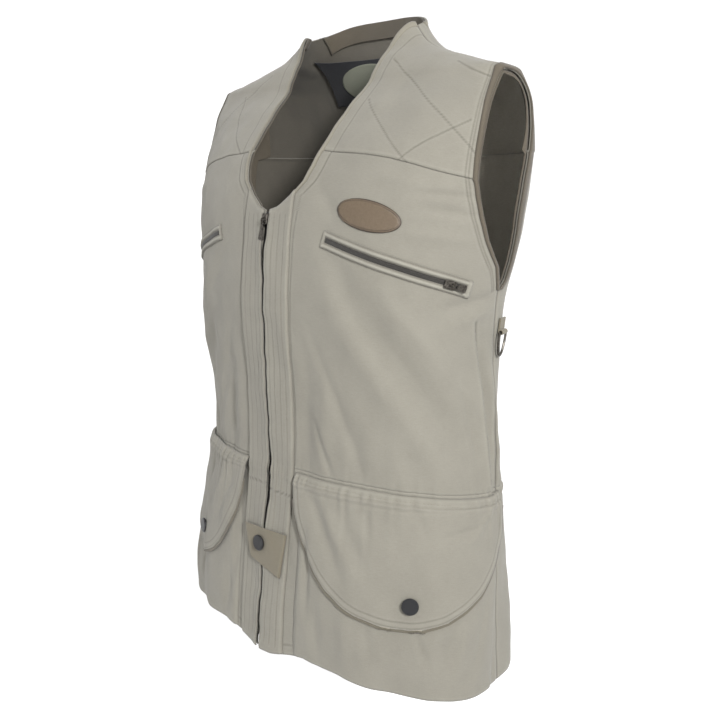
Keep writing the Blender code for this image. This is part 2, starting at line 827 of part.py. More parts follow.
def make_snap(name, frame, home):
    """The round cap of a press stud, slightly domed."""
    mesh = bpy.data.meshes.new(name)
    work = bmesh.new()
    bmesh.ops.create_cone(
        work, cap_ends=True, segments=22, radius1=SNAP_RADIUS, radius2=SNAP_RADIUS, depth=SNAP_TALL,
        matrix=Matrix.Translation((0, 0, SNAP_TALL / 2)),
    )
    work.to_mesh(mesh)
    work.free()
    cap = keep(name, mesh, "snap", home)
    cap.matrix_world = frame
    edge = cap.modifiers.new("edge", "BEVEL")
    edge.width = 0.0009
    edge.segments = 1
    edge.limit_method = "ANGLE"
    edge.angle_limit = radians(40)
    return cap


SNAP_RADIUS = 0.0085
SNAP_TALL = 0.0028
# where the studs sit; a flap's girth is given on the left pocket
SNAP_FLAP = {1: (0.1829, -0.5620), -1: (0.1613, -0.5575)}
SNAP_TAB = (-0.0030, -0.5385)
SNAP_REST = {1: 0.0004, -1: 0.0014}

RING_PLACE = (0.2790, -0.3000)
RING_WIRE = 0.00125
RING_HALF = 0.0105
RING_DROP = 0.0225
EYE_OUTER = 0.0027
EYE_INNER = 0.0019
LOOP_WIDTH = 0.0150
LOOP_UP = 0.0140


def make_ring_loop(home):
    """The cloth tape that holds the ring: flat on the side, then round the ring's bar."""
    frame = place_frame(*RING_PLACE, STEP_OUT)
    meet = sqrt(EYE_OUTER ** 2 - (EYE_OUTER - WALL) ** 2)
    start = pi - np.arctan2(meet, EYE_OUTER - WALL)
    outline = [(0, LOOP_UP), (WALL, LOOP_UP)]
    outline += arc(EYE_OUTER, 0, EYE_OUTER, start, -pi, 20)
    hole = arc(EYE_OUTER, 0, EYE_INNER, 0, 2 * pi * 15 / 16, 15)
    curve = outline_curve("ring_loop", [outline, hole], LOOP_WIDTH)
    guide = bpy.data.objects.new("outline", curve)
    home.objects.link(guide)
    mesh = baked(guide)
    bpy.data.objects.remove(guide)
    loop = keep("ring_loop", mesh, "webbing", home)
    turn = Matrix(((0, 0, 1, 0), (0, -1, 0, 0), (1, 0, 0, 0), (0, 0, 0, 1)))
    loop.matrix_world = frame @ turn
    return loop


def make_d_ring(home):
    frame = place_frame(*RING_PLACE, STEP_OUT) @ Matrix.Translation((0, 0, EYE_OUTER))
    curve = bpy.data.curves.new("d_ring", "CURVE")
    curve.dimensions = "3D"
    curve.bevel_depth = RING_WIRE
    curve.bevel_resolution = 2
    path = [(-RING_HALF * 0.5, 0), (0, 0), (RING_HALF * 0.5, 0)]
    steps = 16
    for i in range(steps + 1):
        turn = between(0, pi, i / steps)
        corner = 0.0014 * (1 - abs(cos(turn)))
        path.append((RING_HALF * cos(turn), RING_DROP * sin(turn) ** 0.8 + corner))
    spline = curve.splines.new("POLY")
    spline.points.add(len(path) - 1)
    for point, (x, y) in zip(spline.points, path):
        point.co = (x, y, 0, 1)
    spline.use_cyclic_u = True
    ring = bpy.data.objects.new("d_ring", curve)
    curve.materials.append(MATERIALS["metal"])
    home.objects.link(ring)
    ring.matrix_world = frame
    return ring


def slot_cells(centre):
    return abs(centre.x) < 0.45 and abs(centre.y) < 0.17


def welt_spread(u, v):
    """Narrows the middle row of cells to the slot."""
    half = CHEST_SLOT / CHEST_TALL / 2
    return u, np.interp(v, [0, 1 / 3, 2 / 3, 1], [0, 0.5 - half, 0.5 + half, 1])


def front_spread(u, v):
    """Rows closer together near the neckline."""
    return u, np.interp(v, [0, 0.6, 1], [0, 0.72, 1])


def sides_spread(u, v):
    """Columns closer together at the sides, where the body of the garment bends most."""
    share = np.sin((2 * u - 1) * 0.4 * pi) / sin(0.4 * pi)
    return (share + 1) / 2, v


def neck_spread(u, v):
    """Twelve of 28 columns across the neck, and close ones at the armholes."""
    edge = NECK_HALF_WIDTH / SHOULDER_HALF_WIDTH / 2
    even = np.array([0, 4, 8, 20, 24, 28]) / 28
    return np.interp(u, even, [0, 0.085, 0.5 - edge, 0.5 + edge, 0.915, 1]), v


def back_spread(u, v):
    """The same, with rows closer together beside the armholes."""
    return sides_spread(u, np.interp(v, [0, 0.4, 1], [0, 0.615, 1]))


def build(home):
    sides = (("left", 1), ("right", -1))
    for name, side in sides:
        cloth(
            "front_" + name, lambda u, v, s=side: front_surface(u, v, s),
            14, 14, 0, WALL, "twill", home, spread=front_spread,
        )
        cloth(
            "yoke_" + name, lambda u, v, s=side: yoke_surface(u, v, s),
            9, YOKE_ROWS, 0, WALL, "twill", home,
        )
        cloth(
            "skirt_front_" + name, lambda u, v, s=side: skirt_front_surface(u, v, s),
            15, 7, 0, WALL, "twill", home,
        )
        cloth(
            "placket_" + name, lambda u, v, s=side: placket_surface(u, v, s),
            2, 22, PLACKET_STEP, WALL, "twill", home,
        )
        cloth(
            "pocket_" + name, lambda u, v, s=side: pocket_surface(u, v, s),
            16, 9, POCKET_STEP, WALL, "twill", home,
        )
        cloth(
            "flap_" + name, lambda u, v, s=side: flap_surface(u, v, s),
            16, 9, POCKET_STEP, WALL, "twill", home,
        )
        cloth(
            "welt_" + name, lambda u, v, s=side: chest_surface(u, v, s, CHEST_TALL),
            14, 3, STEP_OUT, WALL, "twill", home, skip=slot_cells, spread=welt_spread,
        )
        cloth(
            "chest_zip_" + name,
            lambda u, v, s=side: chest_surface(u, v, s, CHEST_SLOT - 0.0012, 0.09, 0.91),
            12, 1, STEP_OUT, THIN_WALL, "coil", home,
        )
        cloth(
            "neck_binding_" + name, lambda u, v, s=side: neck_binding_surface(u, v, s),
            1, sum(BINDING_ROWS), STEP_IN - THIN_WALL, THIN_WALL, "facing", home,
        )
        cloth(
            "armhole_facing_" + name, lambda u, v, s=side: armhole_surface(u, v, s),
            1, sum(ARMHOLE_ROWS), STEP_IN_ROUND - THIN_WALL, THIN_WALL, "facing", home,
        )
    cloth("back", back_surface, 22, 12, 0, WALL, "twill", home, spread=back_spread)
    cloth("yoke_back", yoke_back_surface, 28, YOKE_BACK_ROWS, 0, WALL, "twill", home, spread=neck_spread)
    cloth("skirt_back", skirt_back_surface, 22, 6, 0, WALL, "twill", home, spread=sides_spread)
    cloth("neck_facing", neck_facing_surface, 10, 2, STEP_IN - THIN_WALL, THIN_WALL, "facing", home)
    cloth("neck_label", label_surface, 12, 4, STEP_IN - THIN_WALL, THIN_WALL, "label", home)
    cloth("leather_patch", patch_surface, 6, 4, STEP_OUT, WALL, "leather", home)
    cloth(
        "front_tab", tab_surface, 6, 3, TAB_STEP, WALL, "webbing", home,
    )
    cloth(
        "zip_tape", lambda u, v: sheet_point(between(-0.012, 0.012, u), between(-0.6470, -0.1900, v)),
        2, 20, STEP_IN - THIN_WALL, THIN_WALL, "coil", home,
    )
    cloth(
        "zip_coil", lambda u, v: sheet_point(between(-0.0038, 0.0038, u), between(-0.6470, -0.1900, v)),
        1, 20, 0.0002, 0.0040, "coil", home,
    )

    front_frame = place_frame(0, -0.1975, 0.0046)
    make_slider("front_slider", front_frame, home)
    make_pull("front_pull", front_frame, 0.0225, radians(-12), home)
    for name, side in sides:
        g, z = chest_place(0.86, 0)
        frame = place_frame(side * g, z, STEP_OUT + WALL + 0.0005)
        turn = Matrix.Rotation(side * radians(74), 4, "Z")
        make_slider("chest_slider_" + name, frame @ turn, home)
        make_pull("chest_pull_" + name, frame @ turn, 0.0165, 0, home)

    for name, side in sides:
        away, up = SNAP_FLAP[side]
        rise = float(pocket_rise(np.array(away), np.array(up)))
        lift = POCKET_STEP + FLAP_STEP + WALL + rise + SNAP_REST[side]
        frame = place_frame(side * on_side(away, side), up, lift)
        make_snap("snap_flap_" + name, frame, home)
    make_snap("snap_tab", place_frame(*SNAP_TAB, TAB_STEP + WALL + SNAP_REST[1]), home)
    make_ring_loop(home)
    make_d_ring(home)


for old in list(bpy.data.objects):
    bpy.data.objects.remove(old)
MATERIALS = {slot: fresh_material(slot) for slot in LOOKS}
VEST = bpy.data.collections.new("hunting_vest")
bpy.context.scene.collection.children.link(VEST)
build(VEST)
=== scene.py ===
"""Hunting vest: the looks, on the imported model's frame.

Metres, +Z up, front -Y, the wearer's left +X. A place on the cloth is a girth (from the front
middle, positive to the wearer's left) and a height, as in the CAD source.
"""

from functools import partial
from math import cos, pi, radians, sin, sqrt

import bpy
import numpy as np
from mathutils import Matrix, Vector
from mathutils.bvhtree import BVHTree


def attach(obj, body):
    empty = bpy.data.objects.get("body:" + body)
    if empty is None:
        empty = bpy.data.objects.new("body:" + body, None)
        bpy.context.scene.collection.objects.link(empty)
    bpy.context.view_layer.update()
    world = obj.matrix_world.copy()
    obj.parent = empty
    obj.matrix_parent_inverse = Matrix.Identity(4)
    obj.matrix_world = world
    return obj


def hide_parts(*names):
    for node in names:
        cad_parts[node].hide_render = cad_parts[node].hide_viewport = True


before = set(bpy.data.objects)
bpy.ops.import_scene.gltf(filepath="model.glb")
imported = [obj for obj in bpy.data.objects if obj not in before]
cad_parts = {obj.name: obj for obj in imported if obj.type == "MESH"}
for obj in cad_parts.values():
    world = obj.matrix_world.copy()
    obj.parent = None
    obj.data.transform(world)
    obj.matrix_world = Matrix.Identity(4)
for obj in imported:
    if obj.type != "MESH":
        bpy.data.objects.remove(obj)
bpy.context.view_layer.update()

# The form of the CAD model: all its tables are those of the source
FRONT_POWER = 2.3
BACK_POWER = 2.6
NECK_BACK_TOP = 0.016
NECK_HALF_WIDTH = 0.080
SHOULDER_HALF_WIDTH = 0.208
YOKE_BACK_LEVEL = -0.130
V_BOTTOM = -0.187
UNDERARM = -0.257
WAIST = -0.4500
HEM = -0.655

# height, half width, front depth, back depth, middle
SECTIONS = (
    (0.03, 0.068, 0.022, 0.036, 0.01),
    (0.015, 0.0745, 0.022, 0.038, 0.01),
    (0.0, 0.08, 0.022, 0.041, 0.01),
    (-0.015, 0.093, 0.024, 0.046, 0.008),
    (-0.028, 0.112, 0.025, 0.053, 0.005),
    (-0.042, 0.156, 0.026, 0.064, -0.002),
    (-0.057, 0.208, 0.029, 0.073, -0.006),
    (-0.09, 0.218, 0.058, 0.083, -0.004),
    (-0.14, 0.217, 0.099, 0.09, 0.0),
    (-0.2, 0.212, 0.117, 0.087, 0.0),
    (-0.28, 0.198, 0.122, 0.071, 0.0),
    (-0.37, 0.191, 0.1145, 0.083, 0.0),
    (-0.45, 0.195, 0.111, 0.094, 0.0),
    (-0.54, 0.204, 0.117, 0.103, 0.0),
    (-0.655, 0.214, 0.121, 0.107, 0.0),
    (-0.7, 0.216, 0.121, 0.107, 0.0),
)
# height, girth
FRONT_INNER = (
    (-0.7, 0.0055), (-0.188, 0.0055), (-0.185, 0.015), (-0.174, 0.03),
    (-0.16, 0.044), (-0.145, 0.05), (-0.129, 0.0535),
)
FRONT_OUTER = (
    (-0.7, 0.299), (-0.66, 0.297), (-0.463, 0.279), (-0.39, 0.27), (-0.3, 0.268),
    (-0.257, 0.268), (-0.235, 0.2627), (-0.2245, 0.255), (-0.2105, 0.247), (-0.192, 0.2395),
    (-0.178, 0.234), (-0.157, 0.226), (-0.12, 0.216),
)
BACK_ARMHOLE = (
    (-0.257, 0.268), (-0.248, 0.277), (-0.232, 0.283), (-0.2, 0.287), (-0.16, 0.286),
    (-0.13, 0.283),
)
# girth, height
YOKE_SEAM = (
    (0.05, -0.1295), (0.1, -0.1335), (0.14, -0.1385), (0.165, -0.144), (0.19, -0.15),
    (0.226, -0.157),
)
WAIST_SEAM = (
    (0.0, -0.45), (0.1, -0.452), (0.14, -0.453), (0.185, -0.4555), (0.21, -0.458),
    (0.252, -0.4625), (0.5, -0.46),
)
HEM_LINE = (
    (0.0, -0.658), (0.022, -0.6572), (0.045, -0.6525), (0.065, -0.649), (0.114, -0.651),
    (0.153, -0.656), (0.188, -0.6595), (0.243, -0.6645), (0.285, -0.6636), (0.34, -0.66), (0.55, -0.662),
)
# How far the zip and the cloth beside it are pulled to the wearer's left: height, shift
ZIP_SHIFT = (
    (-0.7, 0.0), (-0.62, 0.001), (-0.545, 0.004), (-0.47, 0.0055), (-0.34, 0.007),
    (-0.25, 0.007), (-0.19, 0.006), (-0.15, 0.002), (-0.129, 0.0),
)
SHIFT_REACH = 0.14
# height, inner girth, outer girth
FLAP_OUTLINE = (
    (-0.45, 0.04, 0.28),
    (-0.464, 0.0415, 0.2805), (-0.478, 0.0435, 0.2815), (-0.4945, 0.0464, 0.2825),
    (-0.5086, 0.053, 0.2822), (-0.5307, 0.0665, 0.273), (-0.545, 0.08, 0.262),
    (-0.56, 0.096, 0.248), (-0.5725, 0.115, 0.229), (-0.579, 0.13, 0.218),
    (-0.586, 0.156, 0.196), (-0.5876, 0.168, 0.184),
)
# start girth, start height, end girth, end height, half width, rise
CREASES_LEFT = (
    (0.09, -0.224, 0.243, -0.446, 0.014, -0.0042),
    (0.078, -0.25, 0.215, -0.452, 0.017, 0.0034),
    (0.12, -0.232, 0.236, -0.38, 0.015, 0.002),
    (0.058, -0.33, 0.052, -0.449, 0.01, -0.003),
    (0.084, -0.35, 0.078, -0.45, 0.011, 0.0026),
    (0.118, -0.4, 0.116, -0.452, 0.009, -0.0022),
    (0.155, -0.405, 0.162, -0.453, 0.01, 0.002),
    (0.246, -0.307, 0.277, -0.472, 0.007, -0.004),
    (0.2575, -0.32, 0.287, -0.474, 0.008, 0.0036),
    (0.219, -0.588, 0.232, -0.64, 0.01, -0.003),
)
CREASES_RIGHT = (
    (0.152, -0.4, 0.15, -0.61, 0.055, -0.0085),
    (0.08, -0.25, 0.178, -0.44, 0.016, -0.0036),
    (0.1, -0.245, 0.215, -0.42, 0.018, 0.0026),
    (0.052, -0.35, 0.056, -0.449, 0.01, 0.0028),
    (0.07, -0.34, 0.074, -0.45, 0.009, -0.003),
    (0.095, -0.38, 0.1, -0.452, 0.01, 0.0024),
    (0.13, -0.395, 0.134, -0.453, 0.009, -0.0024),
    (0.246, -0.312, 0.277, -0.472, 0.007, -0.004),
    (0.2575, -0.325, 0.287, -0.474, 0.008, 0.0036),
    (0.19, -0.59, 0.205, -0.645, 0.01, -0.0028),
)
# the same columns on the back, with the girth measured from the back middle
CREASES_BACK = (
    (-0.12, -0.2, -0.055, -0.44, 0.018, -0.0036),
    (-0.085, -0.19, -0.028, -0.43, 0.018, 0.0028),
    (0.115, -0.215, 0.05, -0.44, 0.018, -0.0034),
    (0.08, -0.185, 0.02, -0.435, 0.018, 0.0028),
    (-0.15, -0.33, -0.135, -0.452, 0.012, 0.003),
    (0.155, -0.34, 0.14, -0.452, 0.012, 0.003),
    (-0.1, -0.48, -0.118, -0.64, 0.016, 0.0034),
    (0.09, -0.48, 0.112, -0.64, 0.016, 0.0034),
    (0.0, -0.47, 0.004, -0.65, 0.02, -0.003),
)

# Finer creases that only the looks have, in the same columns
FINE_LEFT = (
    (0.064, -0.3, 0.128, -0.448, 0.006, -0.0018),
    (0.105, -0.262, 0.205, -0.42, 0.008, -0.0021),
    (0.15, -0.262, 0.238, -0.372, 0.007, 0.0016),
    (0.118, -0.15, 0.205, -0.17, 0.008, 0.0014),
    (0.17, -0.168, 0.228, -0.172, 0.004, -0.0018),
    (0.18, -0.182, 0.236, -0.19, 0.005, -0.0019),
    (0.15, -0.205, 0.238, -0.212, 0.006, 0.0014),
    (0.06, -0.16, 0.1, -0.2, 0.008, -0.0016),
    (0.067, -0.398, 0.089, -0.449, 0.004, -0.0026),
    (0.221, -0.345, 0.25, -0.448, 0.005, -0.0021),
    (0.205, -0.275, 0.262, -0.262, 0.005, -0.0022),
    (0.215, -0.29, 0.262, -0.276, 0.006, 0.0019),
    (0.066, -0.47, 0.116, -0.548, 0.006, -0.0022),
    (0.074, -0.462, 0.128, -0.54, 0.006, 0.0019),
    (0.1, -0.47, 0.15, -0.552, 0.007, -0.0016),
    (0.128, -0.464, 0.137, -0.5, 0.004, -0.0021),
    (0.176, -0.462, 0.19, -0.493, 0.004, -0.0018),
    (0.206, -0.497, 0.247, -0.491, 0.0035, -0.0019),
    (0.232, -0.506, 0.262, -0.474, 0.004, 0.0016),
    (0.189, -0.589, 0.204, -0.626, 0.0022, -0.0029),
    (0.14, -0.587, 0.149, -0.63, 0.006, -0.0026),
    (0.118, -0.58, 0.122, -0.64, 0.008, 0.0026),
    (0.08, -0.575, 0.086, -0.646, 0.008, -0.0032),
    (0.064, -0.51, 0.07, -0.6, 0.005, -0.0038),
    (0.24, -0.575, 0.23, -0.642, 0.007, 0.0029),
    (0.262, -0.56, 0.25, -0.64, 0.006, -0.0022),
)
FINE_RIGHT = (
    (0.07, -0.225, 0.15, -0.33, 0.008, -0.0019),
    (0.11, -0.28, 0.2, -0.4, 0.008, 0.0016),
    (0.06, -0.3, 0.112, -0.446, 0.006, -0.0019),
    (0.15, -0.3, 0.235, -0.365, 0.007, 0.0016),
    (0.18, -0.182, 0.236, -0.19, 0.005, -0.0019),
    (0.12, -0.16, 0.205, -0.172, 0.007, 0.0014),
    (0.221, -0.345, 0.25, -0.448, 0.005, -0.0021),
    (0.055, -0.47, 0.088, -0.54, 0.006, -0.0022),
    (0.07, -0.463, 0.104, -0.53, 0.006, 0.0019),
    (0.12, -0.466, 0.128, -0.5, 0.004, -0.0019),
    (0.135, -0.589, 0.146, -0.626, 0.003, -0.0029),
    (0.06, -0.575, 0.066, -0.64, 0.007, -0.0032),
    (0.048, -0.515, 0.052, -0.6, 0.005, -0.0035),
    (0.18, -0.56, 0.172, -0.642, 0.007, 0.0026),
    (0.23, -0.5, 0.236, -0.64, 0.009, -0.0029),
)
FINE_BACK = (
    (-0.16, -0.215, -0.088, -0.44, 0.008, -0.0021),
    (-0.05, -0.19, -0.006, -0.4, 0.008, 0.0018),
    (0.15, -0.225, 0.09, -0.44, 0.008, -0.0021),
    (0.03, -0.23, -0.01, -0.43, 0.007, -0.0016),
    (-0.06, -0.465, -0.066, -0.64, 0.008, -0.0029),
    (0.045, -0.47, 0.055, -0.64, 0.008, 0.0029),
    (-0.15, -0.47, -0.158, -0.64, 0.008, 0.0026),
    (0.15, -0.47, 0.156, -0.64, 0.008, -0.0029),
    (-0.02, -0.56, -0.024, -0.65, 0.006, 0.0026),
)
# The lapped edge of the side pleats: height, girth, drop
PLEAT = (
    (-0.288, 0.239, 0.0004), (-0.315, 0.243, 0.0026), (-0.35, 0.247, 0.0044),
    (-0.39, 0.251, 0.0054), (-0.43, 0.2565, 0.006), (-0.456, 0.263, 0.0052), (-0.476, 0.27, 0.0014),
)
PLEAT_REACH = 0.0105

TABLE = np.array(SECTIONS)
ROW_STEP = 0.00125
COLUMNS = 1201
LEVELS = 2401


def section(height, k):
    """One column of the section table, as a smooth curve with no overshoot."""
    x = -TABLE[:, 0]
    y = TABLE[:, k]
    h = np.diff(x)
    slope = np.diff(y) / h
    tangent = np.zeros(len(x))
    w1 = 2 * h[1:] + h[:-1]
    w2 = h[1:] + 2 * h[:-1]
    same = slope[:-1] * slope[1:] > 0
    with np.errstate(divide="ignore", invalid="ignore"):
        tangent[1:-1] = np.where(same, (w1 + w2) / (w1 / slope[:-1] + w2 / slope[1:]), 0)
    tangent[0] = slope[0]
    tangent[-1] = slope[-1]
    q = np.clip(-np.asarray(height, float), x[0], x[-1])
    i = np.clip(np.searchsorted(x, q, side="right") - 1, 0, len(h) - 1)
    t = (q - x[i]) / h[i]
    start = (1 + 2 * t) * (1 - t) ** 2 * y[i] + t * (1 - t) ** 2 * h[i] * tangent[i]
    return start + t * t * (3 - 2 * t) * y[i + 1] + t * t * (t - 1) * h[i] * tangent[i + 1]


def level_rings():
    """Points at even steps of girth on rings at even steps of height, and each half girth."""
    heights = np.arange(TABLE[-1, 0], TABLE[0, 0] + ROW_STEP / 2, ROW_STEP)
    angle = np.linspace(-pi, pi, LEVELS)
    rings = []
    halves = []
    for z in heights:
        half_width, front, back, middle = (float(section(z, k)) for k in (1, 2, 3, 4))
        facing = np.cos(angle) > 0
        depth = np.where(facing, front, back)
        power = np.where(facing, FRONT_POWER, BACK_POWER)
        across = np.abs(np.sin(angle) / half_width) ** power
        radius = (across + np.abs(np.cos(angle) / depth) ** power) ** (-1 / power)
        x = radius * np.sin(angle)
        y = middle - radius * np.cos(angle)
        length = np.concatenate([[0], np.cumsum(np.hypot(np.diff(x), np.diff(y)))])
        length -= length[LEVELS // 2]
        halves.append(length[-1])
        even = np.linspace(length[0], length[-1], COLUMNS)
        ring = [np.interp(even, length, x), np.interp(even, length, y), np.full(COLUMNS, z)]
        rings.append(np.stack(ring, -1))
    return heights, np.array(rings), np.array(halves)


HEIGHTS, RINGS, HALVES = level_rings()


def half_girth(z):
    """Girth from the front middle to the back middle."""
    return np.interp(z, HEIGHTS, HALVES)


def on_ring(g, z):
    """The point of the form at a girth and a height."""
    row = np.clip((np.asarray(z, float) - HEIGHTS[0]) / ROW_STEP, 0, len(HEIGHTS) - 1.001)
    col = np.clip((np.asarray(g, float) / half_girth(z) + 1) / 2 * (COLUMNS - 1), 0, COLUMNS - 1.001)
    i = row.astype(int)
    j = col.astype(int)
    r = (row - i)[..., None]
    c = (col - j)[..., None]
    low = RINGS[i, j] * (1 - c) + RINGS[i, j + 1] * c
    high = RINGS[i + 1, j] * (1 - c) + RINGS[i + 1, j + 1] * c
    return low * (1 - r) + high * r


def depth_at(x, z, behind):
    """The form's y at a width and height, on the front or the back half."""
    depth = section(z, 3 if behind else 2)
    power = BACK_POWER if behind else FRONT_POWER
    share = np.clip(np.abs(x) / section(z, 1), 0, 1)
    reach = depth * (1 - share ** power) ** (1 / power)
    return section(z, 4) + (reach if behind else -reach)


def ridge_height(x):
    """Height of the shoulder's top line at a width."""
    z = np.linspace(0, -0.06, 481)
    return np.interp(np.abs(x), section(z, 1), z)


def read(table, value, column=1):
    """A column of a table at a value of its first column."""
    rows = np.array(table)
    order = np.argsort(rows[:, 0])
    return np.interp(value, rows[order, 0], rows[order, column])


def between(low, high, share):
    return low + (high - low) * share


def bump(value):
    """One at zero, falling to nothing like a bell."""
    return np.exp(-np.square(value))


def crease(table, g, z):
    """Rise of the cloth where soft troughs and ridges run across it."""
    rise = np.zeros(np.broadcast(g, z).shape)
    for g0, z0, g1, z1, width, height in table:
        length = (g1 - g0) ** 2 + (z1 - z0) ** 2
        along = np.clip(((g - g0) * (g1 - g0) + (z - z0) * (z1 - z0)) / length, 0, 1)
        away = (g - g0 - along * (g1 - g0)) ** 2 + (z - z0 - along * (z1 - z0)) ** 2
        rise = rise + height * (0.3 + 0.7 * np.sin(pi * along)) * np.exp(-away / width ** 2)
    return rise


def hem_wave(g, z):
    """Slow waves that grow towards the hem."""
    share = np.clip((WAIST - z) / (WAIST - HEM), 0, 1) ** 1.5
    return share * (0.0022 * np.sin(g * 58 + 0.6) + 0.0012 * np.sin(g * 101))


def pleat(g, z):
    """The lap of the side pleats: the cloth in front stands up and drops to the cloth behind it."""
    edge = read(PLEAT, z)
    drop = read(PLEAT, z, 2)
    inside = (z < PLEAT[0][0]) & (z > PLEAT[-1][0])
    ahead = edge - np.abs(g)
    lap = np.exp(-np.clip(ahead, 0, None) / PLEAT_REACH)
    dip = 0.8 * np.exp(np.clip(ahead, None, 0) / 0.004)
    return np.where(inside, drop * np.where(ahead > 0, lap, -dip), 0)


def folds(g, z):
    """All the folds at a girth and height; a negative girth is the wearer's right."""
    half = half_girth(z)
    left = np.where(g >= 0, crease(CREASES_LEFT, g, z), crease(CREASES_RIGHT, -g, z))
    behind = np.where(g >= 0, half - g, -half - g)
    fine = np.where(g >= 0, crease(FINE_LEFT, g, z), crease(FINE_RIGHT, -g, z)) + crease(FINE_BACK, behind, z)
    return left + crease(CREASES_BACK, behind, z) + hem_wave(g, z) + fine + pleat(g, z)


def waves(points, size, seed, stretch=(1, 1, 1)):
    """Smooth unevenness, about one high, in humps about the size given."""
    draw = np.random.default_rng(seed)
    total = np.zeros(points.shape[:-1])
    for _ in range(18):
        way = draw.normal(size=3)
        way *= 2 * pi / size / np.linalg.norm(way) * draw.uniform(0.6, 1.5) * np.array(stretch)
        total += np.sin(points @ way + draw.uniform(0, 2 * pi))
    return total / 3.5


def slack(points):
    """The small unevenness that all layers of cloth share."""
    return 0.0007 * waves(points, 0.075, 3, (1, 1, 0.6)) + 0.00028 * waves(points, 0.028, 4, (1, 1, 0.7))


# Surfaces: each takes u and v from 0 to 1, and gives points of the form and the folds there

# where the strips along the neck and round the armhole pass from one panel to the next
NECK_SEAM = -0.1300
ARM_SEAM_FRONT = -0.1575
ARM_SEAM_BACK = -0.1305

LAP = 0.0030             # how far a piece runs under its neighbour at a seam
EDGE = 0.0002            # how far a piece ends before its neighbour
ZIP_EDGE = 0.0055        # the front's edge beside the zip


def pulled(g, z):
    """The girth after the pull of the front to the wearer's left."""
    near = np.clip(1 - np.abs(g) / SHIFT_REACH, 0, 1)
    return g + read(ZIP_SHIFT, z) * near * near * (3 - 2 * near)


def sheet_point(g, z):
    """The point of the form and the rise of the folds there."""
    return on_ring(pulled(g, z), z), folds(g, z)


def front_top(g):
    return read(YOKE_SEAM, np.abs(g))


def waist_line(g):
    return read(WAIST_SEAM, np.abs(g))


def hem_line(g):
    return read(HEM_LINE, np.abs(g))


def front_surface(u, v, side):
    g = between(ZIP_EDGE, 0.27, u)
    for _ in range(6):
        z = between(waist_line(g) + EDGE, front_top(g) + LAP, v)
        g = between(read(FRONT_INNER, z), read(FRONT_OUTER, z) - EDGE, u)
    return sheet_point(side * g, z)


def yoke_surface(u, v, side):
    g = between(read(FRONT_INNER, -0.129), read(FRONT_OUTER, -0.157), u)
    z_front = front_top(g) + EDGE
    x_front = on_ring(g, z_front)[..., 0]
    x_top = between(NECK_HALF_WIDTH, SHOULDER_HALF_WIDTH, u)
    z_top = ridge_height(x_top)
    left = 1 - np.clip(v, 0, 1)
    z = z_top - (z_top - z_front) * left ** FRONT_POWER
    x = x_top + (x_front - x_top) * left ** 1.3
    return np.stack([side * x, depth_at(x, z, False) - EDGE, z], -1), np.zeros(u.shape)


def yoke_back_surface(u, v):
    """u runs from the right armhole to the left, v from the seam up."""
    reach = 2 * u - 1
    x_top = reach * SHOULDER_HALF_WIDTH
    inside = np.clip(1 - np.abs(x_top) / NECK_HALF_WIDTH, 0, 1)
    z_top = ridge_height(x_top) + NECK_BACK_TOP * (1 - (1 - inside) ** 4)
    x_low = reach * float(on_ring(np.array(read(BACK_ARMHOLE, -0.13)), np.array(-0.13))[0])
    power = np.where(inside > 0, BACK_POWER - (BACK_POWER - 1.1) * np.sqrt(inside), BACK_POWER)
    left = 1 - v
    z = z_top - (z_top - YOKE_BACK_LEVEL - EDGE) * left ** power
    x = x_top + (x_low - x_top) * left ** power
    return np.stack([x, depth_at(x, z, True) + EDGE, z], -1), np.zeros(u.shape)


def back_edge(z):
    return np.where(z > UNDERARM, read(BACK_ARMHOLE, z), read(FRONT_OUTER, z))


def around_back(share, edge, z):
    """Girth at a share from -1 (right edge) to 1 (left edge) across the back middle."""
    half = half_girth(z)
    away = share * (half - edge)
    return np.where(away >= 0, half - away, -half - away)


def across_back(u, v, low, high, edge):
    """Points from edge to edge across the back, between two lines."""
    share = 2 * u - 1
    g = 0.39 + 0 * u
    for _ in range(4):
        z = between(low(g), high(g), v)
        g = np.abs(around_back(share, edge(z) + EDGE, z))
    return sheet_point(around_back(share, edge(z) + EDGE, z), z)


def back_surface(u, v):
    return across_back(u, v, lambda g: waist_line(g) + EDGE, lambda g: YOKE_BACK_LEVEL + LAP, back_edge)


def skirt_front_surface(u, v, side):
    g = between(ZIP_EDGE, 0.28, u)
    for _ in range(4):
        z = between(hem_line(g), waist_line(g) + LAP, v)
        g = between(ZIP_EDGE, read(FRONT_OUTER, z) - EDGE, u)
    return sheet_point(side * g, z)


def skirt_back_surface(u, v):
    return across_back(u, v, hem_line, lambda g: waist_line(g) + LAP, partial(read, FRONT_OUTER))


# The zip's gap between the two plackets: height, half width
ZIP_GAP = (
    (-0.655, 0.0034), (-0.625, 0.0030), (-0.590, 0.0016), (-0.500, 0.0020), (-0.478, 0.0034),
    (-0.455, 0.0030), (-0.430, 0.0015), (-0.360, 0.0013), (-0.290, 0.0014), (-0.250, 0.0022),
    (-0.215, 0.0036), (-0.180, 0.0042),
)
PLACKET_OUTER = 0.0370
PLACKET_STEP = 0.0027


def placket_surface(u, v, side):
    g = between(0.0042, PLACKET_OUTER, u)
    for _ in range(3):
        top = np.interp(g, [row[1] for row in FRONT_INNER[1:]], [row[0] for row in FRONT_INNER[1:]])
        z = between(hem_line(g) + 0.001, np.minimum(top, V_BOTTOM + 0.6 * g), v)
        g = between(read(ZIP_GAP, z), PLACKET_OUTER, u)
    return sheet_point(side * g, z)


POCKET_TOP = -0.480
POCKET_INNER = 0.050
POCKET_OUTER = 0.284
POCKET_SWELL = 0.0040
POCKET_STEP = 0.0027
RIGHT_START = 0.0095
RIGHT_SHARE = 0.70


def on_side(g, side):
    """The girth on a side's pocket of a place given on the left pocket."""
    return g if side > 0 else RIGHT_START + RIGHT_SHARE * g


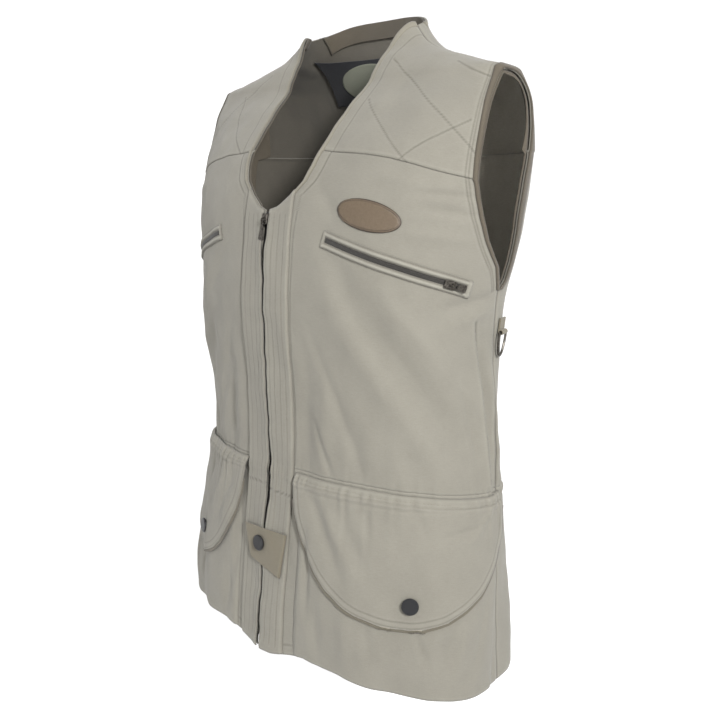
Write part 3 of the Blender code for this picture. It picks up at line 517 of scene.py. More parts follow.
def pocket_rise(g, z):
    """How far the pocket stands off the skirt, at a girth given on the left pocket."""
    across = np.clip((g - POCKET_INNER) / (POCKET_OUTER - POCKET_INNER), 0, 1)
    up = np.clip((z - HEM) / (POCKET_TOP - HEM), 0, 1)
    return POCKET_SWELL * (1 - np.abs(2 * across - 1) ** 4) * np.sin(pi * up)


def pocket_surface(u, v, side):
    g = between(POCKET_INNER, POCKET_OUTER, u)
    z = between(hem_line(on_side(g, side)) + 0.001, POCKET_TOP, v)
    points, rise = sheet_point(side * on_side(g, side), z)
    return points, rise + pocket_rise(g, z)


FLAP_STEP = 0.0044
FLAP_DOWN = 0.0015
FLAP_END = -0.5876
FLAP_RAMP = 0.0120


def flap_surface(u, v, side):
    g = 0.16 + 0 * u
    for _ in range(6):
        top = waist_line(on_side(g, side)) - FLAP_DOWN
        z = between(FLAP_END, top, v ** 1.5)
        g = between(read(FLAP_OUTLINE, z, 1), read(FLAP_OUTLINE, z, 2), u)
    points, rise = sheet_point(side * on_side(g, side), z)
    over = np.clip((top - z) / FLAP_RAMP, 0, 1)
    return points, rise + pocket_rise(g, np.minimum(z, POCKET_TOP)) + FLAP_STEP * over


# girth and height of the tab's corners: lower right, lower left, upper right, upper left
TAB_CORNERS = ((-0.0205, -0.5580), (0.0310, -0.5690), (-0.0316, -0.5235), (0.0373, -0.5205))
TAB_STEP = 0.0062


def tab_surface(u, v):
    low, high = TAB_CORNERS[:2], TAB_CORNERS[2:]
    g, z = (between(between(low[0][k], low[1][k], u), between(high[0][k], high[1][k], u), v) for k in (0, 1))
    return on_ring(pulled(g, z), z), np.zeros(u.shape)


CHEST_START = (0.0800, -0.2135)
CHEST_END = (0.2310, -0.2560)
CHEST_TALL = 0.0170
CHEST_SLOT = 0.0050
CHEST_LENGTH = sqrt((CHEST_END[0] - CHEST_START[0]) ** 2 + (CHEST_END[1] - CHEST_START[1]) ** 2)


def chest_place(along, up):
    """Girth and height at a share along the chest opening and a distance up from its line."""
    run = (CHEST_END[0] - CHEST_START[0]) / CHEST_LENGTH
    fall = (CHEST_END[1] - CHEST_START[1]) / CHEST_LENGTH
    g = CHEST_START[0] + along * run * CHEST_LENGTH - up * fall
    z = CHEST_START[1] + along * fall * CHEST_LENGTH + up * run
    return g, z


def chest_strip(u, v, side, low, high, start=0.0, end=1.0):
    g, z = chest_place(between(start, end, u), between(low, high, v))
    return sheet_point(side * g, z)


PATCH_PLACE = (0.1295, -0.1905)
PATCH_LENGTH = 0.070
PATCH_HEIGHT = 0.028
PATCH_TILT = radians(-11)


def patch_place(along, up):
    g = PATCH_PLACE[0] + along * cos(PATCH_TILT) - up * sin(PATCH_TILT)
    z = PATCH_PLACE[1] + along * sin(PATCH_TILT) + up * cos(PATCH_TILT)
    return g, z


def oval(a, b):
    """A square grid from -1 to 1, pressed into a round one."""
    return a * np.sqrt(1 - b * b / 2), b * np.sqrt(1 - a * a / 2)


def patch_surface(u, v):
    along, up = oval(2 * u - 1, 2 * v - 1)
    return sheet_point(*patch_place(along * PATCH_LENGTH / 2, up * PATCH_HEIGHT / 2))


def strip(rows, u, v, *parts):
    """Surfaces end to end, each with its own number of rows."""
    points = np.zeros(u.shape + (3,))
    rise = np.zeros(u.shape)
    row = v * sum(rows)
    start = 0
    for part, count in zip(parts, rows):
        here = (row > start - 0.001) & (row < start + count + 0.001)
        share = np.clip((row - start) / count, 0, 1)
        start += count
        p, r = part(u, share)
        points[here] = p[here]
        rise[here] = r[here]
    return points, rise


STEP_IN = -0.0010        # how deep a facing lies under the cloth
STEP_IN_ROUND = -0.0016
BINDING_WIDTH = 0.009
BAND_WIDTH = 0.0056
YOKE_WIDE = 0.15
YOKE_BACK_WIDE = 0.36
# widths of a strip round the armhole: in front, at the shoulder, below the back yoke and under the arm
ARM_FACING = (0.012, 0.012, 0.012, 0.012)
ARM_TAPE = (0.0046, 0.0080, 0.0120, 0.0070)
TAPE_OUT = -0.0003       # the tape reaches past the armhole's edge
RIM = 0.14               # share of a facing's width that shows past the edge
BACK_FACING_TALL = 0.0175
LABEL_MIDDLE = -0.031
LABEL_HALF = 0.065
LABEL_TOP = -0.021
LABEL_END = -0.068


def neck_strip(u, v, side, width, low, inset=0, top=1, start=0):
    """A strip along the neck's front edge, from a height and up the yoke."""
    u = between(start, 1, u)

    def front_part(a, b):
        z = between(low, NECK_SEAM, b)
        return sheet_point(side * (read(FRONT_INNER, z) + width * a - inset), z)

    return strip((60, 90), u, v, front_part, lambda a, b: yoke_surface(a * width / YOKE_WIDE, top * b, side))


def arm_strip(u, v, side, widths, inset, start=0):
    """A strip round the armhole, from under the arm up the front, over the shoulder and down the back."""
    u = between(start, 1, u)

    def front_part(a, b):
        z = between(UNDERARM, ARM_SEAM_FRONT, b ** 1.5)
        return sheet_point(side * (read(FRONT_OUTER, z) - inset - widths[0] * a), z)

    def yoke_part(a, b):
        return yoke_surface(1 - a * between(*widths[:2], b) / YOKE_WIDE, b, side)

    def back_yoke_part(a, b):
        share = 1 - a * between(*widths[1:3], b) / YOKE_BACK_WIDE
        return yoke_back_surface(share if side > 0 else 1 - share, 1 - b)

    def back_part(a, b):
        z = between(ARM_SEAM_BACK, UNDERARM, 1 - (1 - b) ** 1.5)
        return sheet_point(side * (read(BACK_ARMHOLE, z) + inset + between(*widths[2:], b) * a), z)

    return strip((60, 70, 60, 60), u, v, front_part, yoke_part, back_yoke_part, back_part)


def arm_tape_lines(side):
    """The tape's two rows of stitches behind the arm."""
    v = np.linspace(0.56, 0.995, 130)
    return [arm_strip(np.full(130, share), v, side, ARM_TAPE, TAPE_OUT)[0] for share in (0.22, 0.80)]


def back_neck(u, v, half, tall):
    """A strip of even height along the back of the neck's top edge."""
    across = between(0.5 - half, 0.5 + half, u)
    inside = np.clip(1 - np.abs(2 * across - 1) * SHOULDER_HALF_WIDTH / NECK_HALF_WIDTH, 0, 1)
    power = BACK_POWER - (BACK_POWER - 1.1) * np.sqrt(inside)
    reach = (tall / (NECK_BACK_TOP - YOKE_BACK_LEVEL)) ** (1 / power)
    return yoke_back_surface(across, 1 - np.minimum(reach, 0.40) * (1 - v))


def label_surface(u, v):
    x = LABEL_MIDDLE + between(-LABEL_HALF, LABEL_HALF, u)
    z = between(LABEL_END, LABEL_TOP, v)
    return np.stack([x, depth_at(x, z, True), z], -1), np.zeros(u.shape)


def label_part(u, v, x_mid, z_mid, half, tall, round_edge):
    """A small piece on the label, a plain oval or a plain oblong."""
    a = 2 * u - 1
    b = 2 * v - 1
    if round_edge:
        a, b = oval(a, b)
    x = x_mid + a * half
    z = z_mid + b * tall
    return np.stack([x, depth_at(x, z, True), z], -1), np.zeros(u.shape)


# Lines on the cloth, each as points of the form

def even(path, step):
    """The same line in even steps."""
    length = np.concatenate([[0], np.cumsum(np.linalg.norm(np.diff(path, axis=0), axis=1))])
    at = np.linspace(0, length[-1], max(int(round(length[-1] / step)), 1) + 1)
    return np.stack([np.interp(at, length, path[:, k]) for k in range(path.shape[1])], -1)


def eased(spots, passes=12):
    """A line through places, its corners rounded."""
    path = even(np.array(spots, float), 0.002)
    for _ in range(passes):
        path[1:-1] = (path[:-2] + 2 * path[1:-1] + path[2:]) / 4
    return path


def on_cloth(g, z):
    return on_ring(pulled(g, z), z)


def line(spots, side=1, away=0.0):
    """A line through girths and heights, moved sideways by away, as points of the form."""
    path = eased(spots)
    if away:
        way = np.gradient(path, axis=0)
        way /= np.linalg.norm(way, axis=1)[:, None]
        path = path + away * np.stack([-way[:, 1], way[:, 0]], -1)
    return on_cloth(side * path[:, 0], path[:, 1])


def flipped(table):
    return [(row[1], row[0]) for row in table]


# Building

MESHES = {}
# the drop and reach of a piece's edge
ROLL = (0.0008, 0.0018)
UNDERLAP = (0.0021, 0.0022)
GROOVE = (0.0010, 0.0016)
NONE = (0.0, 1.0)
PLAIN = (NONE,) * 4
USUAL = (0.45, 0.45)     # how much closer the rows of a grid are at its edges
ROUNDED = (ROLL,) * 4
BASE = 0.0015            # how far the looks of the cloth stand off the form
SHOULDER = -0.07         # above this height the way out of the cloth also points up
NORMAL_STEP = 0.012      # share of a surface over which its slope is read
# tone and width of the painted shade line at a dropped edge, and tone, place and width of the lighter line
# beside it, for wear and a painted highlight on the rolled edge
EDGE_PAINTED_SHADE = (0.42, 0.0011)
EDGE_WEAR_AND_HIGHLIGHT = (0.16, 0.0028, 0.0012)
SEAM_SHADE_PER_METRE = 1600         # painted shade, in tone for each metre that a seam pulls the cloth in
MOST_SEAM_SHADE = 0.75
SEAM_WEAR_AND_HIGHLIGHT = 0.12
PUCKER = 0.0075          # length of a pucker along a seam
INNER_LIGHT_REACH = 0.12       # the inside has painted light towards the wearer's left armhole and painted shade towards the right, as far as this width
SMALLEST = 0.01          # least flat width or length that a sheet is given
STITCH_STEP = 0.0026
STITCH_LENGTH = 0.0017


def close_ends(count, share):
    """Even steps from 0 to 1, drawn closer together at both ends."""
    t = np.linspace(0, 1, count + 1)
    return t - share * np.sin(2 * pi * t) / (2 * pi)


def lifted(surface, u, v):
    """Points of a surface, the folds there and the way out of the cloth."""
    step = NORMAL_STEP
    points, rise = surface(u, v)
    right = surface(np.clip(u + step, 0, 1), v)[0] - surface(np.clip(u - step, 0, 1), v)[0]
    up = surface(u, np.clip(v + step, 0, 1))[0] - surface(u, np.clip(v - step, 0, 1))[0]
    normal = np.cross(right, up)
    normal /= np.linalg.norm(normal, axis=-1)[..., None]
    outward = points.copy()
    outward[..., 2] = np.where(points[..., 2] > SHOULDER, 0.25, 0)
    flip = np.sign(np.sum(normal * outward, -1))
    normal *= np.where(flip == 0, 1, flip)[..., None]
    return points, rise, normal


def distance(points, path, reach=0.008):
    """How far each point is from a line, and how far along it; one metre where it is out of reach."""
    away = np.ones(points.shape[:-1])
    along = np.zeros(points.shape[:-1])
    low = path.min(0) - reach
    high = path.max(0) + reach
    near = np.all((points > low) & (points < high), -1)
    if not near.any():
        return away, along
    spots = points[near]
    best = np.ones(len(spots))
    where = np.zeros(len(spots))
    start = 0
    for a, b in zip(path[:-1], path[1:]):
        way = b - a
        length = np.linalg.norm(way)
        share = np.clip((spots - a) @ way / length ** 2, 0, 1)
        gap = np.linalg.norm(spots - a - share[:, None] * way, axis=1)
        closer = gap < best
        best = np.where(closer, gap, best)
        where = np.where(closer, start + share * length, where)
        start += length
    away[near] = best
    along[near] = where
    return away, along


def grid_mesh(name, points, values):
    """A mesh of quads from rows of points, with its UV map in metres and named values at its points."""
    rows, columns = points.shape[:2]
    index = np.arange(rows * columns).reshape(rows, columns)
    quads = np.stack([index[:-1, :-1], index[:-1, 1:], index[1:, 1:], index[1:, :-1]], -1).reshape(-1, 4)
    mesh = bpy.data.meshes.new(name)
    mesh.from_pydata(points.reshape(-1, 3).tolist(), [], quads.tolist())
    across = np.cumsum(np.linalg.norm(np.diff(points, axis=1, prepend=points[:, :1]), axis=-1), axis=1)
    across -= across[:, columns // 2:columns // 2 + 1]
    up = np.cumsum(np.linalg.norm(np.diff(points, axis=0, prepend=points[:1]), axis=-1), axis=0)
    up = np.broadcast_to(up[:, columns // 2:columns // 2 + 1], across.shape)
    flat = np.stack([across, up], -1).reshape(-1, 2)
    layer = mesh.uv_layers.new(name="metres")
    loops = np.empty(len(mesh.loops), int)
    mesh.loops.foreach_get("vertex_index", loops)
    layer.data.foreach_set("uv", flat[loops].astype(np.float32).ravel())
    for key, value in values.items():
        attribute = mesh.attributes.new(key, "FLOAT", "POINT")
        attribute.data.foreach_set("value", value.astype(np.float32).ravel())
    mesh.shade_smooth()
    return mesh


def place_piece(name, mesh, looks, nodes=()):
    """Puts a mesh in the scene as a piece of the vest, in place of CAD nodes where some are given."""
    piece = bpy.data.objects.new(name, mesh)
    bpy.context.scene.collection.objects.link(piece)
    for look in looks:
        mesh.materials.append(look)
    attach(piece, "vest")
    if nodes:
        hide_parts(*nodes)
    return piece


def panel(name, surface, columns, rows, lift, edges=PLAIN, seams=(), material=None, slot="twill", nodes=(),
          thick=0.0013, held="hung", rests_on="", relief=None, dense=USUAL):
    """A piece of cloth; where its name ends in _cloth, it stands for the node of that name.

    edges has the drop and reach of its left, right, lower and upper edge; seams has lines, each with
    how far it pulls the cloth in and how wide.
    """
    u, v = np.meshgrid(close_ends(columns, dense[0]), close_ends(rows, dense[1]))
    points, rise, normal = lifted(surface, u, v)
    height = rise + lift + slack(points)
    tone = np.zeros(u.shape)
    wide = np.linalg.norm(np.diff(points, axis=1, prepend=points[:, :1]), axis=-1).cumsum(1)
    tall = np.linalg.norm(np.diff(points, axis=0, prepend=points[:1]), axis=-1).cumsum(0)
    gaps = (wide, wide[:, -1:] - wide, tall, tall[-1:] - tall)
    for gap, (drop, reach) in zip(gaps, edges):
        height -= drop * bump(gap / reach)
        if drop:
            # painted shade along the dropped edge, then a lighter line for wear and a painted highlight
            tone -= EDGE_PAINTED_SHADE[0] * bump(gap / EDGE_PAINTED_SHADE[1])
            tone += EDGE_WEAR_AND_HIGHLIGHT[0] * bump((gap - EDGE_WEAR_AND_HIGHLIGHT[1]) / EDGE_WEAR_AND_HIGHLIGHT[2])
    if relief:
        more, shade = relief(points, u, v, gaps)
        height += more
        tone += shade
    for path, depth, width in seams:
        away, along = distance(points, path)
        pull = 0.75 + 0.25 * np.sin(along * 2 * pi / PUCKER + 2 * np.sin(along * 90))
        height -= depth * bump(away / width) * pull
        # painted shade in the seam's groove, and a lighter line beside it for wear and a painted highlight on
        # the ridge
        tone -= min(MOST_SEAM_SHADE, depth * SEAM_SHADE_PER_METRE) * bump(away / width / 0.8)
        tone += SEAM_WEAR_AND_HIGHLIGHT * bump((away - 2.2 * width) / width)
    outer = points + normal * height[..., None]
    # painted light and shade on the inside, lighter towards the wearer's left armhole
    inner = 0.7 * np.clip(points[..., 0] / INNER_LIGHT_REACH, -0.5, 1)
    mesh = grid_mesh(name, outer, {"tone": tone, "inner": inner})
    check = mesh.polygons[(rows // 2) * columns + columns // 2].normal
    middle = normal[rows // 2, columns // 2]
    if check.dot(Vector(middle)) < 0:
        mesh.flip_normals()
    looks = material or (TWILL, SHADED_INSIDE)
    if not isinstance(looks, tuple):
        looks = (looks, looks)
    if name.endswith("_cloth"):
        nodes = [name[:-len("_cloth")]]
    piece = place_piece(name, mesh, looks, nodes)
    wall = piece.modifiers.new("wall", "SOLIDIFY")
    wall.thickness = thick
    wall.offset = -1
    wall.material_offset = 1
    MESHES[name] = mesh
    width = max(float(np.max(wide[:, -1])), SMALLEST)
    length = max(float(np.max(tall[-1])), SMALLEST)
    cell = np.cross(points[:-1, 1:] - points[:-1, :-1], points[1:, :-1] - points[:-1, :-1])
    area = float(np.linalg.norm(cell, axis=-1).sum())
    # a curved strip's cut is at least half full
    length = max(min(length, area / width / 0.5), SMALLEST)


STITCHES = {}


def sew(group, name, path):
    """A row of stitches along a line, on the outside of a piece."""
    mesh = MESHES[name]
    tree = BVHTree.FromPolygons([v.co for v in mesh.vertices], [p.vertices for p in mesh.polygons])
    path = even(path, STITCH_STEP)
    verts, faces = STITCHES.setdefault(group, ([], []))
    half = STITCH_LENGTH / 2
    shape = ((-half, 0, 0), (-half * 0.55, 0.00019, 0.00013), (-half * 0.55, -0.00019, 0.00013),
             (half * 0.55, 0.00019, 0.00013), (half * 0.55, -0.00019, 0.00013), (half, 0, 0))
    for a, b in zip(path[:-1], path[1:]):
        spot, normal = tree.find_nearest(Vector((a + b) / 2), 0.03)[:2]
        if spot is None:
            continue
        ahead = Vector(b - a)
        ahead = (ahead - normal * ahead.dot(normal)).normalized()
        beside = normal.cross(ahead)
        base = len(verts)
        for x, y, z in shape:
            verts.append(spot + ahead * x + beside * y + normal * (z + 0.00004))
        for face in ((0, 2, 1), (1, 2, 4, 3), (3, 4, 5), (0, 1, 3, 5), (0, 5, 4, 2)):
            faces.append([base + k for k in face])


def finish_stitches():
    """All the stitches of a group as one piece."""
    for group, (verts, faces) in STITCHES.items():
        mesh = bpy.data.meshes.new(group)
        mesh.from_pydata([tuple(v) for v in verts], [], faces)
        place_piece(group, mesh, [THREAD])


# Materials

def linear(red, green, blue):
    """A colour of the screen, 0 to 255, as light."""
    out = []
    for value in (red, green, blue):
        c = value / 255
        out.append(c / 12.92 if c <= 0.04045 else ((c + 0.055) / 1.055) ** 2.4)
    return (*out, 1)


class Nodes:
    """Makes and joins the nodes of one material."""

    def __init__(self, name):
        self.material = bpy.data.materials.new(name)
        self.material.use_nodes = True
        self.tree = self.material.node_tree
        self.shader = self.tree.nodes["Principled BSDF"]

    def add(self, kind, *inputs, **settings):
        node = self.tree.nodes.new(kind)
        for key, value in settings.items():
            setattr(node, key, value)
        for key, value in inputs:
            if isinstance(value, bpy.types.NodeSocket):
                self.tree.links.new(value, node.inputs[key])
            else:
                node.inputs[key].default_value = value
        return node

    def math(self, operation, a, b=0.5, clamp=False):
        return self.add("ShaderNodeMath", (0, a), (1, b), operation=operation, use_clamp=clamp).outputs[0]

    def times(self, a, b):
        return self.math("MULTIPLY", a, b)

    def around(self, value, share):
        """How far a value is from one half, times a share."""
        return self.times(self.math("SUBTRACT", value, 0.5), share)

    def total(self, first, *more):
        for value in more:
            first = self.math("ADD", first, value)
        return first

    def mix(self, share, a, b):
        return self.add("ShaderNodeMix", (0, share), (6, a), (7, b), data_type="RGBA").outputs[2]

    def noise(self, vector, scale, detail=3.0, rough=0.55):
        inputs = ("Vector", vector), ("Scale", scale), ("Detail", detail), ("Roughness", rough)
        return self.add("ShaderNodeTexNoise", *inputs).outputs["Fac"]

    def bump(self, height, strength):
        node = self.add("ShaderNodeBump", ("Height", height), ("Strength", strength), ("Distance", 1.0))
        self.link(node.outputs[0], "Normal")

    def set(self, key, value):
        self.shader.inputs[key].default_value = value

    def link(self, value, key):
        self.tree.links.new(value, self.shader.inputs[key])


FLECK = 0.25             # how strong the finest marks of the cloth are


def cloth_look(name, colour, dark, light, twill=0.0011, tone="tone"):
    """Woven cloth: diagonal twill, uneven dye, and the painted shade and light of the tone attribute: darker
    seams and edges, with lighter lines beside them for wear and a painted highlight.
    """
    n = Nodes(name)
    uv = n.add("ShaderNodeUVMap", uv_map="metres").outputs[0]
    place = n.add("ShaderNodeTexCoord").outputs["Object"]
    tone = n.add("ShaderNodeAttribute", attribute_name=tone).outputs["Fac"]
    x, y = n.add("ShaderNodeSeparateXYZ", ("Vector", uv)).outputs[:2]
    rib = n.math("SINE", n.times(n.total(x, n.times(y, 0.62)), 2 * pi / twill))
    pick = n.math("SINE", n.times(y, 2 * pi / (twill * 0.83)))
    weave = n.total(n.times(rib, 0.7), n.times(pick, 0.3))
    long = n.add("ShaderNodeVectorMath", ("Vector", uv), (1, (160.0, 900.0, 1.0)), operation="MULTIPLY")
    slub = n.noise(long.outputs[0], 1.0, 2.0)
    broad = n.noise(place, 7.0, 4.0, 0.6)
    middle = n.noise(place, 42.0, 3.0)
    fine = n.noise(place, 900.0, 2.0)
    # tone brings in the painted shade and light of seams, edges and puckers
    shade = n.total(
        n.around(broad, 0.30), n.around(middle, 0.22), n.around(fine, FLECK), n.around(slub, FLECK),
        n.times(weave, 0.12 * FLECK), n.times(tone, 0.8),
    )
    darker = n.math("MULTIPLY", shade, -1.0, clamp=True)
    lighter = n.math("MULTIPLY", shade, 1.0, clamp=True)
    n.link(n.mix(lighter, n.mix(darker, colour, dark), light), "Base Color")
    n.link(n.total(n.times(middle, 0.1), 0.83), "Roughness")
    raised = n.total(n.times(weave, 0.00006), n.times(slub, 0.00016), n.times(middle, 0.0009))
    n.bump(raised, 0.25)
    n.set("Sheen Weight", 0.12)
    n.set("Sheen Roughness", 0.6)
    n.set("Specular IOR Level", 0.25)
    return n.material


def plain_look(name, colour, spots, rough, metallic=0.0, scale=500.0, depth=0.0002, share=0.5, edge=None):
    """A smooth material with fine marks and worn spots, and painted shade at sewn lines and edges."""
    n = Nodes(name)
    marks = n.noise(n.add("ShaderNodeTexCoord").outputs["Object"], scale, 5.0, 0.65)
    worn = n.add("ShaderNodeMapRange", ("Value", marks), ("From Min", 0.42), ("From Max", 0.68)).outputs[0]
    shade = n.mix(n.times(worn, share), colour, spots)
    # where an edge colour is given, the tone attribute's painted shade of seams and edges darkens towards it
    if edge:
        tone = n.add("ShaderNodeAttribute", attribute_name="tone").outputs["Fac"]
        shade = n.mix(n.math("MULTIPLY", tone, -1.3, clamp=True), shade, edge)
    n.link(shade, "Base Color")
    n.link(n.total(n.times(marks, 0.25), rough - 0.12), "Roughness")
    n.bump(n.times(marks, depth), 0.6)
    n.set("Metallic", metallic)
    return n.material


TWILL = cloth_look("twill", linear(113, 110, 101), linear(62, 59, 52), linear(142, 140, 130))
# the inside: darker than the twill as painted shade inside the vest, and lighter where the inner attribute
# paints light
SHADED_INSIDE = cloth_look("twill_inside_painted_shade", linear(80, 76, 68), linear(46, 43, 38), linear(160, 154, 140),
                    tone="inner")
# the flap's second layer, darker than the twill as painted shade under the flap's edge
UNDER = cloth_look("flap_under", linear(88, 83, 72), linear(58, 54, 46), linear(108, 103, 90))
FACING = cloth_look("facing", linear(72, 66, 56), linear(46, 41, 35), linear(92, 85, 73), twill=0.0016)
BINDING = cloth_look("binding", linear(110, 106, 95), linear(62, 58, 50), linear(134, 130, 118), twill=0.0012)
NAVY = cloth_look("label", linear(8, 9, 15), linear(4, 4, 8), linear(16, 17, 25), twill=0.0007)
OVAL = cloth_look("label_oval", linear(96, 98, 86), linear(66, 68, 58), linear(116, 118, 104), twill=0.0007)
TAPE = cloth_look("tape", linear(40, 38, 35), linear(22, 21, 20), linear(58, 55, 51), twill=0.0012)
RIBBED = cloth_look("ribbed_tape", linear(98, 92, 78), linear(62, 57, 46), linear(122, 116, 99), twill=0.0018)
THREAD = plain_look("thread", linear(104, 100, 90), linear(80, 76, 67), 0.8, scale=800.0)
LEATHER = plain_look("leather", linear(82, 69, 53), linear(70, 58, 43), 0.62, scale=420.0, depth=0.0003,
                     share=0.4, edge=linear(44, 33, 24))
LEATHER_EDGE = plain_look("leather_edge", linear(66, 48, 33), linear(46, 33, 22), 0.7)
COIL = plain_look("coil", linear(32, 30, 28), linear(18, 17, 16), 0.45, scale=600.0)
SNAP = plain_look("snap_cap", linear(6, 6, 10), linear(3, 3, 6), 0.42)
METAL = plain_look("antique_metal", linear(90, 86, 80), linear(34, 32, 30), 0.38, metallic=0.95, share=0.8)


# The pieces

SIDES = (("left", 1), ("right", -1))


GATHER_RISE = 0.00125
CASING_RISE = 0.0009
GATHER_SHADE = 0.10
GATHER_STEPS = (0.0125, 0.0068)
ROUND = 0.16             # metres of girth for each radian, for the rhythm of the puckers


def waist_gathers(points, u, v, gaps):
    """Puckers that a gathered seam makes along the waist, on both sides of it, with painted shade in their
    troughs and painted light on their ridges.
    """
    g = np.arctan2(points[..., 0], -points[..., 1])
    line_z = -0.4535 - 0.008 * np.clip(np.abs(g), 0, 1.5) / 1.5
    below = np.clip(line_z - points[..., 2], 0, None)
    above = np.clip(points[..., 2] - line_z, 0, None)
    run = g * ROUND
    pleat_wave = np.sin(run * 2 * pi / GATHER_STEPS[0] + 2.2 * np.sin(run * 41) + 0.8)
    pleat_wave = pleat_wave + 0.7 * np.sin(run * 2 * pi / GATHER_STEPS[1] + 3 * np.sin(run * 23))
    uneven = 0.55 + 0.45 * np.sin(run * 31 + 1.1) * np.sin(run * 77)
    casing = bump((below - 0.005) / 0.0042) - 0.8 * bump((below - 0.0112) / 0.0016)
    reach = 0.020 + 0.012 * np.sin(run * 53)
    share = np.exp(-below / reach) * (below > 0) + 0.6 * np.exp(-above / 0.011) * (above > 0)
    height = GATHER_RISE * pleat_wave * uneven * share + CASING_RISE * casing * (below > 0)
    # the tone follows the puckers: painted shade in the troughs, painted light on the ridges
    return height, GATHER_SHADE * pleat_wave * uneven * share


ARM_FRONT = [row for row in flipped(FRONT_OUTER) if row[1] >= UNDERARM]
NECK_LINE_AWAY = 0.0155


def yoke_line(offset, side, outer):
    """A line up the yoke at a distance from its armhole or its neck edge."""
    u = np.full(90, 1 - offset / YOKE_WIDE if outer else offset / YOKE_WIDE)
    return yoke_surface(u, np.linspace(0, 1, 90), side)[0]


# girth, height of the quilted lines on the yoke
YOKE_LINES_LEFT = (
    ((0.0865, -0.0410), (0.1400, -0.0770), (0.1785, -0.1030), (0.2115, -0.1280), (0.2190, -0.1350)),
    ((0.0800, -0.0810), (0.0930, -0.0920), (0.1250, -0.1160), (0.1590, -0.1430)),
    ((0.2025, -0.1040), (0.1800, -0.1170), (0.1620, -0.1290), (0.1480, -0.1420)),
    ((0.1640, -0.0490), (0.1875, -0.0590), (0.2030, -0.0650)),
)
YOKE_LINES_RIGHT = (
    ((0.1431, -0.0643), (0.1254, -0.0934), (0.1036, -0.1144), (0.0736, -0.1327)),
    ((0.1052, -0.0431), (0.1485, -0.0757), (0.1791, -0.1017), (0.2090, -0.1273)),
    ((0.0615, -0.0465), (0.0471, -0.0585)),
)


def sew_all(group, name, paths):
    for path in paths:
        sew(group, name, path)


def front_pieces():
    for name, side in SIDES:
        piece = f"front_{name}_cloth"
        rows = [line(ARM_FRONT, side, away) for away in (0.0080, 0.0105)]
        neck = [(read(FRONT_INNER, z) + NECK_LINE_AWAY, z) for z in np.linspace(-0.1720, -0.1280, 12)]
        rows += [line(neck, side)]
        placket = line([(PLACKET_OUTER + 0.0008, -0.446), (PLACKET_OUTER + 0.0016, -0.280),
                        (PLACKET_OUTER + 0.0035, -0.210), (0.0452, -0.172)], side)
        lap = line([(row[1] + 0.0006, row[0]) for row in PLEAT], side)
        panel(
            piece, partial(front_surface, side=side), 168, 156, BASE, (NONE, ROLL, GROOVE, UNDERLAP),
            [(p, 0.00035, 0.0010) for p in rows + [placket]] + [(lap, 0.0010, 0.0017)],
            rests_on=f"yoke_{name}_cloth", relief=waist_gathers,
        )
        sew_all("stitches_front", piece, rows)
        piece = f"yoke_{name}_cloth"
        rows = [yoke_line(away, side, True) for away in (0.0080, 0.0105)]
        rows += [yoke_line(NECK_LINE_AWAY, side, False)]
        quilted = [line(spots, side) for spots in (YOKE_LINES_LEFT if side > 0 else YOKE_LINES_RIGHT)]
        panel(
            piece, partial(yoke_surface, side=side), 136, 114, BASE + 0.0006,
            (ROLL, ROLL, (0.0005, 0.0010), GROOVE),
            [(p, 0.00030, 0.0009) for p in rows] + [(p, 0.0004, 0.0009) for p in quilted],
            held="draped", rests_on="yoke_back_cloth",
        )
        sew_all("stitches_front", piece, rows + quilted)


def skirt_pieces():
    for name, side in SIDES:
        hem = line([(g, z + 0.012) for g, z in HEM_LINE if g < 0.29], side)
        panel(
            f"skirt_front_{name}_cloth", partial(skirt_front_surface, side=side), 116, 84, BASE,
            (NONE, ROLL, ROLL, UNDERLAP), [(hem, 0.0004, 0.0011)],
            held="gathered", rests_on=f"front_{name}_cloth", relief=waist_gathers,
        )


def closure(points, u, v, gaps):
    """The plackets rise towards the zip and ripple along it, with half the waist puckers' painted shade and
    light.
    """
    height, tone = waist_gathers(points, u, v, gaps)
    toward = bump(gaps[0] / 0.010)
    z = points[..., 2]
    ripple = np.sin(z * 2 * pi / 0.047 + 1.4) + 0.6 * np.sin(z * 2 * pi / 0.021)
    return 0.5 * height + 0.0013 * toward + 0.0004 * ripple * (1 - u), 0.5 * tone


def placket_pieces():
    for name, side in SIDES:
        piece = f"placket_{name}_cloth"
        rows = [line([(g, -0.646), (g, -0.192)], side) for g in (0.0062, 0.0125, 0.0205, 0.0290)]
        z = -0.4785 if side > 0 else -0.4740
        across = line([(0.003, z), (PLACKET_OUTER, z - 0.001)], side)
        panel(
            piece, partial(placket_surface, side=side), 26, 230, PLACKET_STEP + BASE,
            ((0.0004, 0.0010), (0.0024, 0.0013), ROLL, ROLL),
            [(p, 0.00018, 0.0008) for p in rows] + [(across, 0.0008, 0.0011)],
            rests_on=f"front_{name}_cloth", dense=(0.2, 0.2), relief=closure,
        )
        sew_all("stitches_front", piece, rows)


UNDER_EDGE = 0.0024      # how far the flap's second layer shows past the first


def flap_under_surface(u, v, side):
    """The flap's second layer, a little larger than the first."""
    z = between(FLAP_END, -0.4800, v ** 1.5)
    low = read(FLAP_OUTLINE, z, 1) - UNDER_EDGE
    high = read(FLAP_OUTLINE, z, 2) + UNDER_EDGE
    g = between(low, high, u)
    z = z - UNDER_EDGE * np.clip((-0.5000 - z) / 0.0600, 0, 1)
    points, rise = sheet_point(side * on_side(g, side), z)
    over = np.clip((-0.453 - z) / FLAP_RAMP, 0, 1)
    return points, rise + pocket_rise(g, np.minimum(z, POCKET_TOP)) + FLAP_STEP * over


